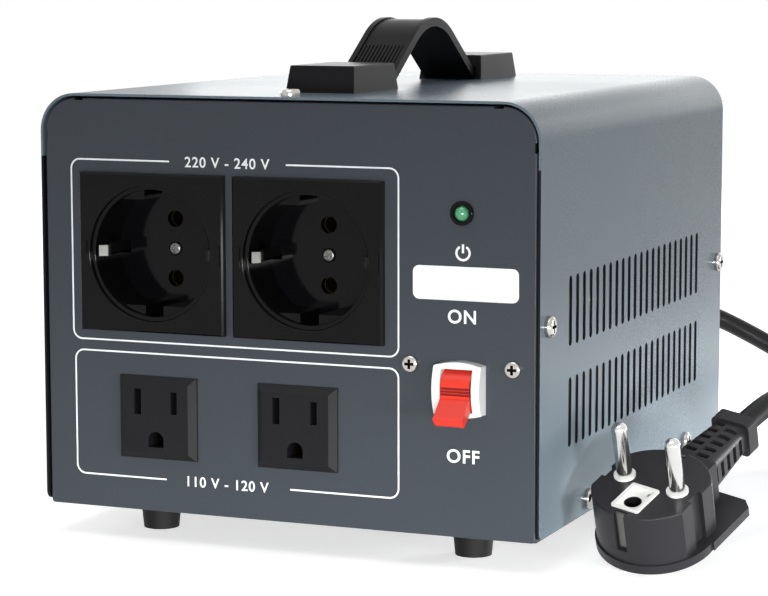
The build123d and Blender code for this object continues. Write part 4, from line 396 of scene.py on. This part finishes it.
floor_finish = Finish(
    "floor_white",
    base_color=(floor_white, floor_white, floor_white, 1),
    roughness=0.6,
    specular_ior_level=0.0,
    emission_color=(1, 1, 1, 1),
)
metres_out = floor_finish.vector("LENGTH", {0: floor_finish.place}, "Value")
glow = between(floor_finish, metres_out, floor_glow, floor_glow_far)
floor_finish.drive("Emission Strength", seen_rays(floor_finish) * glow)
floor_mesh.materials.append(floor_finish.material)
print("floor", floor_size, "m wide")

# %% World
sky_light = 0.25
sky_seen = 1.0
world = bpy.data.worlds.new("studio")
bpy.context.scene.world = world
world.use_nodes = True
sky = Tree(world.node_tree)
backdrop = world.node_tree.nodes["Background"]
backdrop.inputs["Color"].default_value = (1, 1, 1, 1)
sky_strength = between(sky, seen_rays(sky), sky_light, sky_seen)
fill(world.node_tree, backdrop.inputs["Strength"], sky_strength)
print("sky gives", sky_light, "and shows", sky_seen)

# %% [markdown]
# Soft boxes are rectangular lamps. Three long flat ones with a narrow spread stand low, in
# front and on the right, and make the sides lighter towards the floor. The wide ones above,
# behind and on the left light the top and fill the shadows.


# %% Lamps
def soft_box(name, place, target, size, power, spread=180):
    """A rectangular lamp at a place, aimed at a target, with the spread of its light in degrees."""
    lamp = bpy.data.lights.new(name, "AREA")
    lamp.shape = "RECTANGLE"
    lamp.size, lamp.size_y = size
    lamp.energy = power
    lamp.spread = math.radians(spread)
    way = Vector(target) - Vector(place)
    turn = way.to_track_quat("-Z", "Y").to_matrix().to_4x4()
    placed(name, lamp).matrix_world = Matrix.Translation(place) @ turn


case_middle = (0, 0, 0.07)
soft_box("key_lamp", (0.45, -1.10, 0.06), (0.08, -0.1, -0.02), (0.5, 0.1), 0.62, 32)
soft_box("right_lamp", (0.40, 0.40, 0.05), (0.084, -0.05, -0.04), (0.5, 0.05), 0.5, 24)
soft_box("low_lamp", (0.55, -0.30, 0.02), (0.084, -0.03, -0.03), (0.5, 0.05), 0.3, 26)
soft_box("top_lamp", (-0.10, -0.40, 1.3), case_middle, (0.8, 0.8), 4.5)
soft_box("rear_lamp", (-0.10, 1.25, 0.33), case_middle, (1.2, 0.4), 2.4)
soft_box("left_lamp", (-1.10, 0.45, 0.50), case_middle, (0.7, 0.5), 5)
scene = bpy.context.scene
scene.view_settings.view_transform = "Standard"

# %% [markdown]
# ## Powder paint
# The case is steel with a baked powder paint. Such paint is satin, and from close by its
# surface rolls gently, like an orange's skin. Two noises make it: a coarse one for the
# rolling and a fine one for the dust of the powder. The front sheet is darker than the cover.
# The cover's air slots look dark, so a mask by place lays painted shade on what lies under
# the outer faces of its two sides: the walls of the slots and the inside of the sides.


# %% Paint
def powder_paint(name, deep, light, gloss, shine):
    """Satin paint between two near colours, with the rolling surface of baked powder."""
    finish = Finish(name, specular_ior_level=shine)
    rolling = finish.noise(scale=700, detail=2.0)
    dust = finish.noise(scale=2600, detail=1.0)
    drift = finish.noise(scale=9, detail=3.0)
    finish.paint(finish.mix(blended(drift, dust, share=0.7), deep, light))
    finish.drive("Roughness", swinging(gloss, (drift, 0.10), (dust, 0.06)))
    finish.bump(blended(rolling, dust, share=0.7), depth=0.00004, strength=0.6)
    return finish


cover_colours = linear(98, 111, 120), linear(106, 119, 128)
panel_colours = linear(53, 58, 64), linear(58, 63, 69)
painted_slot_shade = linear(22, 23, 25)
under_face = 0.0001
under_roof = 0.02
cover_paint = powder_paint("cover_paint", *cover_colours, gloss=0.28, shine=0.1)
panel_paint = powder_paint("panel_paint", *panel_colours, gloss=0.36, shine=0.2)
cover_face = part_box("cover")[1]
beside, below = abs(cover_paint.along("X")), cover_paint.along("Z")
inside = (beside < cover_face.x - under_face) * (below < cover_face.z - under_roof)
# Painted shade: the slot walls and the inside of the sides get a dark colour.
cover_paint.lay_shade(inside, painted_slot_shade)
dress(cover_paint, "cover")
dress(panel_paint, "chassis")

# %% [markdown]
# ## Moulded plastics
# The plastics are polished black on the European outlets and the lamp's bezel, grained black
# on the American outlets and the handle, white and red on the switch, a dull white on the
# plug's insert, white on the bare plate, and cream on the terminal block inside. They differ
# in colour, gloss and grain alone, so one function makes them all. Two get painted shade, a
# darker colour by place: the lever in its grip grooves, and the insert in its earth hole.


# %% Plastics
def moulded(name, colour, gloss, grain=0.00001, grain_scale=2500, shine=0.5):
    """Moulded plastic: even colour, handled gloss, and the grain of its mould."""
    finish = Finish(name, specular_ior_level=shine)
    grit = finish.noise(scale=grain_scale, detail=2.0)
    handled = finish.noise(scale=60, detail=3.0)
    finish.paint(finish.mix(handled, colour, shaded(colour, gain=1.12, lift=0.002)))
    finish.drive("Roughness", swinging(gloss, (handled, 0.08)))
    finish.bump(grit, grain, strength=0.7)
    return finish


polished_black = moulded("polished_black", linear(5, 4, 6), 0.10, 0.000002, shine=0.12)
outlet_black = moulded("outlet_black", linear(21, 21, 23), 0.40, 0.000015, 3200, 0.12)
handle_black = moulded("handle_black", linear(24, 24, 26), 0.34, 0.00002, 2600, 0.07)
switch_white = moulded("switch_white", linear(216, 217, 216), 0.28, 0.000004)
lever_red = moulded("lever_red", linear(200, 53, 40), 0.25, 0.000004, shine=0.2)
insert_white = moulded("insert_white", linear(214, 214, 211), 0.4)
plate_white = moulded("plate_white", linear(228, 228, 228), 0.35, 0.000002, shine=0.3)
block_cream = moulded("block_cream", linear(214, 209, 196), 0.5)
dress(polished_black, "eu_outlet_left", "eu_outlet_right", "lamp_bezel")
dress(
    outlet_black, "us_outlet_left", "us_outlet_right", "cable_gland", "gland_nut",
    "thermal_cutout",
)
dress(handle_black, "handle_block_front", "handle_block_rear", "handle_strap")
dress(switch_white, "switch_housing")
dress(lever_red, "switch_lever")
dress(insert_white, "plug_insert")
dress(plate_white, "name_plate")
dress(block_cream, "terminal_block")

# %% Grooves and hole in the plastics
along_x, along_y, along_z = (1, 0, 0), (0, 1, 0), (0, 0, 1)
lever_axis = sum(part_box("switch_pivot_pin"), Vector()) / 2
groove_floor = 0.0062
painted_groove_shade = linear(128, 28, 22)
earth_hole_middle = (0.10792, -0.082747, 0.020187)
earth_hole_way = (0.016223, -0.422307, 0.906308)
earth_hole_edge = 0.00275
painted_hole_shade = linear(16, 16, 17)
# Painted shade: a darker red in the lever's grooves and a near black in the earth hole.
lever_red.lay_shade(lever_red.from_axis(tuple(lever_axis), along_x) < groove_floor, painted_groove_shade)
in_the_hole = insert_white.from_axis(earth_hole_middle, earth_hole_way) < earth_hole_edge
insert_white.lay_shade(in_the_hole, painted_hole_shade)
print("lever turns about", [round(value, 4) for value in lever_axis])

# %% [markdown]
# ## Rubber
# Feet, plug, bend sleeve and lead are soft plastics and rubber, and so are the pads of the
# transformer. They are duller than the plastics, and their grain is coarser and softer.


# %% Rubbers
def soft_rubber(name, colour, gloss, grain):
    """Rubber: dull, with a soft uneven skin."""
    finish = Finish(name, specular_ior_level=0.2)
    skin = finish.noise(scale=1400, detail=4.0)
    wear = finish.noise(scale=90, detail=2.0)
    light = shaded(colour, gain=1.25, lift=0.003)
    finish.paint(finish.mix(blended(wear, skin, share=0.6), colour, light))
    finish.drive("Roughness", swinging(gloss, (wear, 0.14)))
    finish.bump(skin, grain, strength=0.6)
    return finish


foot_rubber = soft_rubber("foot_rubber", linear(13, 13, 14), 0.62, 0.00003)
lead_rubber = soft_rubber("lead_rubber", linear(20, 20, 22), 0.36, 0.00001)
plug_rubber = soft_rubber("plug_rubber", linear(33, 32, 35), 0.38, 0.00002)
dress(foot_rubber, "feet", "transformer_pad_lower", "transformer_pad_upper")
dress(plug_rubber, "plug_body", "plug_relief", "cord_sleeve")

# %% [markdown]
# ## Metals
# Screws and pins are nickel on steel, the fixings inside are zinc, and the switch's contacts
# are brass. The clips and screws in the outlets and the clips of the plug are nickel made
# darker and duller, and the contacts deep in their holes are brass made dark: this darkness is
# painted shade of the holes they sit in. A metal's colour is the colour of its reflection, so
# the finish lives in the roughness: fine scratches, stretched along one direction, break up
# the mirror. The screws of the cover and of the switch's bracket have a finish each, because
# each gets its own painted shade in the next cell.


# %% Metals
def bare_metal(name, colour, gloss, scratch=0.000004, stretch=(1, 1, 8)):
    """Plated or bare metal with fine scratches along one direction."""
    finish = Finish(name, metallic=1.0)
    lines = finish.noise(scale=1800, detail=3.0, stretch=stretch)
    cloud = finish.noise(scale=220, detail=2.0)
    finish.paint(finish.mix(cloud, shaded(colour, gain=0.86), colour))
    finish.drive("Roughness", swinging(gloss, (lines, 0.16), (cloud, 0.08)))
    finish.bump(lines, scratch, strength=0.5)
    return finish


cover_nickel = bare_metal("cover_nickel", linear(196, 194, 190), 0.17)
bracket_nickel = bare_metal("bracket_nickel", linear(196, 194, 190), 0.17)
pin_nickel = bare_metal("pin_nickel", linear(226, 226, 224), 0.16, 0.000002)
zinc = bare_metal("zinc", linear(196, 197, 192), 0.36)
brass = bare_metal("brass", linear(212, 182, 116), 0.28)
# Painted shade: this darker brass and nickel stand for the shade deep in the outlets' and the
# plug's holes.
shade_dark_brass = bare_metal("shade_dark_brass", linear(52, 44, 32), 0.5)
shade_dark_nickel = bare_metal("shade_dark_nickel", linear(112, 112, 110), 0.34)
core_steel = bare_metal("core_steel", linear(98, 98, 102), 0.5, stretch=(1, 1, 20))
dress(cover_nickel, "cover_screws")
dress(bracket_nickel, "bracket_screws")
dress(shade_dark_nickel, "eu_screws", "eu_earth_clips", "plug_clips")
dress(pin_nickel, "plug_pins")
dress(
    zinc, "handle_screws", "foot_screws", "foot_nuts", "lamp_nut", "switch_pivot_pin",
    "switch_arm_pin", "switch_screws", "switch_bracket", "transformer_dish", "transformer_bolt",
    "transformer_washer", "transformer_nut", "terminal_screws", "earth_stud", "earth_nut",
)
dress(brass, "switch_arm", "switch_contact", "switch_terminals")
dress(shade_dark_brass, "eu_contacts", "us_contacts")
dress(core_steel, "transformer_core")

# %% [markdown]
# The crosses in the screw heads get painted shade: a dark colour where their recesses are. The
# place is folded by its absolute values, so one axis stands for the screws of both sides, and
# a cross is what lies close to that axis and under the top of the head.

# %% Crosses of the screws
# Painted shade: the recessed crosses of the screw heads are coloured dark.
painted_cross_shade = linear(24, 23, 22)
cover_cross = 0.00195
bracket_cross = 0.00155
under_top = 0.0001
side_screw = (0, 0.0935, 0.075)
low_screw = (0, 0.054, 0.0156)
top_screw = (0, 0.093, 0)
bracket_screw = (0.01645, 0, 0.0624)
switch_middle = 0.059

x, y, z = (cover_nickel.along(letter) for letter in "XYZ")
folded = cover_nickel.node("ShaderNodeCombineXYZ", sockets={"X": abs(x), "Y": abs(y), "Z": z})
near_side = cover_nickel.from_axis(side_screw, along_x, folded) < cover_cross
near_low = cover_nickel.from_axis(low_screw, along_x, folded) < cover_cross
near_top = cover_nickel.from_axis(top_screw, along_z, folded) < cover_cross
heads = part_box("cover_screws")[1]
sunk_side = (near_side | near_low) * (abs(x) < heads.x - under_top)
sunk_top = near_top * (z < heads.z - under_top)
cover_nickel.lay_shade(sunk_side | sunk_top, painted_cross_shade)

x, y, z = (bracket_nickel.along(letter) for letter in "XYZ")
sockets = {"X": abs(x - switch_middle), "Y": y, "Z": z}
folded = bracket_nickel.node("ShaderNodeCombineXYZ", sockets=sockets)
near = bracket_nickel.from_axis(bracket_screw, along_y, folded) < bracket_cross
sunk = near * (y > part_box("bracket_screws")[0].y + under_top)
bracket_nickel.lay_shade(sunk, painted_cross_shade)
print("heads of the cover's screws reach", round(heads.x, 4), "and", round(heads.z, 4))

# %% [markdown]
# ## Lamp, winding and wires
# The lamp's diode is tinted clear epoxy: its green swirls between deep and bright under a
# clear coat. The winding is copper under clear brown tape, whose layers show as an uneven
# tone. The wires have the colours that mains wiring has: brown, blue, and green with yellow
# stripes.

# %% Inner finishes
diode_green = Finish("diode_green", roughness=0.12, coat_weight=0.6, coat_roughness=0.05)
swirl = diode_green.noise(scale=900, detail=2.0)
diode_green.paint(diode_green.mix(swirl, linear(16, 92, 58), linear(78, 178, 122)))
dress(diode_green, "lamp_diode")

tape = Finish("winding_tape", coat_weight=0.5, coat_roughness=0.2)
layers = tape.noise(scale=140, detail=3.0)
tape.paint(tape.mix(layers, linear(88, 56, 26), linear(124, 88, 42)))
tape.drive("Roughness", swinging(0.34, (layers, 0.2)))
tape.bump(layers, depth=0.0002, strength=0.5)
dress(tape, "transformer_winding")

wire_brown = moulded("wire_brown", linear(92, 54, 34), 0.36)
wire_blue = moulded("wire_blue", linear(36, 74, 148), 0.36)
dress(wire_brown, "wires_live")
dress(wire_blue, "wires_neutral")

stripes_per_metre = 55.0
stripe_edge = 0.55
wire_earth = Finish("wire_earth", roughness=0.36)
wave = wire_earth.node(
    "ShaderNodeTexWave",
    {"bands_direction": "DIAGONAL"},
    {"Vector": wire_earth.place, "Scale": stripes_per_metre},
    "Fac",
)
wire_earth.paint(wire_earth.mix(wave > stripe_edge, linear(58, 130, 52), linear(222, 198, 40)))
dress(wire_earth, "earth_lead")

# %% [markdown]
# ## Ribs of the strap
# The strap has a row of fine ribs on each of its two legs. They are one bar repeated, so
# Geometry Nodes lays them: a line of points across the strap gets a bar on every point, and
# the row is turned and moved on to each leg. The group's inputs are named, and their values
# are set by socket identifier before the first evaluation. The result is turned into a plain
# mesh, because the frame keeps meshes and not modifiers.


# %% Rows of ribs
def row_group(name, values, places, material):
    """A node group: a row of bars along X, put at each (translation, rotation) of places."""
    group = bpy.data.node_groups.new(name, "GeometryNodeTree")
    group.interface.new_socket("Geometry", in_out="OUTPUT", socket_type="NodeSocketGeometry")
    for words, value in values.items():
        kind = "NodeSocketInt" if isinstance(value, int) else "NodeSocketFloat"
        group.interface.new_socket(words, in_out="INPUT", socket_type=kind)
    tree = Tree(group)
    count, pitch, width, length, height = (
        tree.node("NodeGroupInput", output=words) for words in values
    )
    start = tree.node("ShaderNodeCombineXYZ", sockets={"X": (1 - count) * pitch * 0.5})
    step = tree.node("ShaderNodeCombineXYZ", sockets={"X": pitch})
    size = tree.node("ShaderNodeCombineXYZ", sockets={"X": width, "Y": length, "Z": height})
    sockets = {"Count": count, "Start Location": start, "Offset": step}
    line = tree.node("GeometryNodeMeshLine", sockets=sockets)
    bar = tree.node("GeometryNodeMeshCube", sockets={"Size": size})
    row = tree.node("GeometryNodeInstanceOnPoints", sockets={"Points": line, "Instance": bar})
    rows = []
    for translation, rotation in places:
        sockets = {"Geometry": row, "Translation": translation, "Rotation": rotation}
        rows.append(tree.node("GeometryNodeTransform", sockets=sockets))
    whole = tree.node("GeometryNodeJoinGeometry", sockets={"Geometry": rows})
    real = tree.node("GeometryNodeRealizeInstances", sockets={"Geometry": whole})
    sockets = {"Geometry": real, "Material": material}
    dressed = tree.node("GeometryNodeSetMaterial", sockets=sockets)
    tree.node("NodeGroupOutput", sockets={0: dressed})
    return group


def plain_mesh(source, name):
    """The mesh that an object is evaluated to. The object itself is removed."""
    bpy.context.view_layer.update()
    shape = bpy.context.evaluated_depsgraph_get()
    mesh = bpy.data.meshes.new_from_object(source.evaluated_get(shape))
    mesh.name = name
    bpy.data.objects.remove(source)
    return mesh


def grown(name, group, values, finish):
    """The piece that a node group makes with these values, as a plain mesh in one finish."""
    seed = placed(name + "_seed", bpy.data.meshes.new(name + "_seed"))
    modifier = seed.modifiers.new("grow", "NODES")
    modifier.node_group = group
    for item in group.interface.items_tree:
        if item.in_out == "INPUT":
            modifier[item.identifier] = values[item.name]
    mesh = plain_mesh(seed, name)
    # The bars bring an empty material slot of their own, so the slots are set afresh.
    mesh.materials.clear()
    mesh.materials.append(finish.material)
    return placed(name, mesh)


# %% [markdown]
# A leg is straight, and the crown between the legs is an arc that touches both. So the legs'
# middle lines meet above the crown, at the apex, and a row's height on its leg follows from
# there. Each row is lifted along its leg's normal until it stands on the strap's outer face,
# inside the raised rim.

# %% Ribs
leg_angle = math.radians(33.0)
crown_top = 0.0224
crown_radius = 0.0301
strap_thick = 0.003
rim_height = 0.0006
rib_stand = 0.0001
handle_middle = 0.004
rib_middle = 0.0292
rib_values = {
    "Count": 11,
    "Pitch": 0.00132,
    "Width": 0.00062,
    "Length": 0.0186,
    "Height": 0.0005,
}
cover_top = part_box("cover")[1].z
apex = crown_top - strap_thick / 2 + crown_radius * (1 / math.cos(leg_angle) - 1)
leg_height = apex - rib_middle * math.tan(leg_angle)
rib_lift = strap_thick / 2 - rim_height + rib_stand
leg_places = []
for side in (-1, 1):
    out = Vector((0, side * math.sin(leg_angle), math.cos(leg_angle))) * rib_lift
    foot = Vector((0, handle_middle + side * rib_middle, cover_top + leg_height))
    leg_places.append((tuple(foot + out), (-side * leg_angle, 0, 0)))
rib_group = row_group("strap_rows", rib_values, leg_places, handle_black.material)
strap_ribs = grown("strap_ribs", rib_group, rib_values, handle_black)
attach(strap_ribs, "root")
print("rib faces", len(strap_ribs.data.polygons), "materials", len(strap_ribs.data.materials))

# %% [markdown]
# ## Print on the front
# The front is screen printed in white: a frame round each pair of outlets with its voltage
# set in a gap, the two words of the switch, and a sign at the lamp. Ink is a film with a
# thickness, so each stroke is a thin bar that follows its line, and a word is the built-in
# font turned into a mesh and set upright.

# %% Strokes
ink_film = 0.00006
ink_width = 0.00052
arc_steps = 8
panel_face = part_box("chassis")[0].y
ink_white = moulded("ink_white", linear(226, 228, 230), 0.5, 0.000002)


def rounded_line(corners, radius):
    """The points of a line through flat corners, each corner an arc."""
    points = [Vector(corners[0])]
    for before, corner, after in zip(corners, corners[1:], corners[2:]):
        way_in = (Vector(corner) - Vector(before)).normalized()
        way_out = (Vector(after) - Vector(corner)).normalized()
        middle = Vector(corner) - way_in * radius + way_out * radius
        for step in range(arc_steps + 1):
            angle = math.pi / 2 * step / arc_steps
            spoke = way_in * math.sin(angle) - way_out * math.cos(angle)
            points.append(middle + spoke * radius)
    points.append(Vector(corners[-1]))
    return points


def stroke(name, points, width):
    """One printed bar on the front sheet, along flat points (x, z)."""
    verts, faces = [], []
    for before, point, after in zip(points[:1] + points, points, points[1:] + points[-1:]):
        way = (after - before).normalized()
        side = Vector((-way.y, way.x)) * (width / 2)
        for edge, proud in ((side, ink_film), (-side, ink_film), (-side, 0), (side, 0)):
            place = point + edge
            verts.append((place.x, panel_face - proud, place.y))
    last = 4 * (len(points) - 1)
    for here in range(0, last, 4):
        for corner in range(4):
            other = (corner + 1) % 4
            faces.append((here + corner, here + other, here + 4 + other, here + 4 + corner))
    faces += [(3, 2, 1, 0), (last, last + 1, last + 2, last + 3)]
    mesh = bpy.data.meshes.new(name)
    mesh.from_pydata(verts, [], faces)
    return placed(name, mesh)


print("front sheet at", round(panel_face, 4))

# %% Words
letter_spacing = 1.12


def printed_word(name, text, middle, height, weight):
    """A word in the built-in font, upright on the front sheet, so high and so placed."""
    letters = bpy.data.curves.new(name, "FONT")
    letters.body = text
    letters.offset = weight
    letters.space_character = letter_spacing
    # Half a unit to each side makes the letters one unit thick, which is scaled to the film.
    letters.extrude = 0.5
    mesh = plain_mesh(placed(name + "_font", letters), name)
    xs = [vertex.co.x for vertex in mesh.vertices]
    ys = [vertex.co.y for vertex in mesh.vertices]
    scale = height / (max(ys) - min(ys))
    centre = Vector(((max(xs) + min(xs)) / 2, (max(ys) + min(ys)) / 2, 0))
    size = Matrix.Diagonal((scale, scale, ink_film, 1))
    stand = Matrix.Rotation(math.radians(90), 4, "X")
    spot = Matrix.Translation((middle[0], panel_face - ink_film / 2, middle[1]))
    mesh.transform(spot @ stand @ size @ Matrix.Translation(-centre))
    return placed(name, mesh)


weld_distance = 0.0000005


def joined(name, pieces, finish):
    """Several objects made one piece, in one finish."""
    whole = bmesh.new()
    for piece in pieces:
        whole.from_mesh(piece.data)
        bpy.data.objects.remove(piece)
    bmesh.ops.remove_doubles(whole, verts=whole.verts, dist=weld_distance)
    bmesh.ops.recalc_face_normals(whole, faces=whole.faces)
    mesh = bpy.data.meshes.new(name)
    whole.to_mesh(mesh)
    whole.free()
    mesh.materials.append(finish.material)
    return placed(name, mesh)


# %% Frames, words and sign
frame_corner = 0.003
upper_frame = [
    (0.0013, 0.1213), (0.0385, 0.1213), (0.0385, 0.0641),
    (-0.0734, 0.0641), (-0.0734, 0.1213), (-0.0387, 0.1213),
]
lower_frame = [
    (0.0022, 0.0205), (0.0385, 0.0205), (0.0385, 0.0605),
    (-0.0728, 0.0605), (-0.0728, 0.0205), (-0.0408, 0.0205),
]
word_height, word_weight = 0.0042, 0.02
volts_height, volts_weight = 0.0033, 0.012
sign_middle = Vector((0.0593, 0.0966))
sign_radius = 0.0021
sign_width = 0.0007
sign_gap = math.radians(60)
sign_steps = 40
sign_bar_length = sign_radius * 1.25
sign_arc = []
for step in range(sign_steps + 1):
    angle = sign_gap / 2 + (2 * math.pi - sign_gap) * step / sign_steps
    sign_arc.append(sign_middle + sign_radius * Vector((math.sin(angle), math.cos(angle))))
sign_bar = [sign_middle, sign_middle + Vector((0, sign_bar_length))]
printed = [
    stroke("upper_frame", rounded_line(upper_frame, frame_corner), ink_width),
    stroke("lower_frame", rounded_line(lower_frame, frame_corner), ink_width),
    stroke("sign_arc", sign_arc, sign_width),
    stroke("sign_bar", sign_bar, sign_width),
    printed_word("word_on", "ON", (0.059, 0.0774), word_height, word_weight),
    printed_word("word_off", "OFF", (0.0595, 0.035), word_height, word_weight),
    printed_word("upper_volts", "220 V - 240 V", (-0.0187, 0.1213), volts_height, volts_weight),
    printed_word("lower_volts", "110 V - 120 V", (-0.0193, 0.0205), volts_height, volts_weight),
]
panel_print = joined("panel_print", printed, ink_white)
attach(panel_print, "root")
print("print faces", len(panel_print.data.polygons))

# %% [markdown]
# ## The lead's finish
# The lead gets its rubber finish and hangs from the root. It stands for the three plain tubes
# of the construction, which are hidden.

lead_curve.materials.append(lead_rubber.material)
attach(mains_lead, "root")
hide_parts("cord_upper", "cord_coil", "cord_lower")
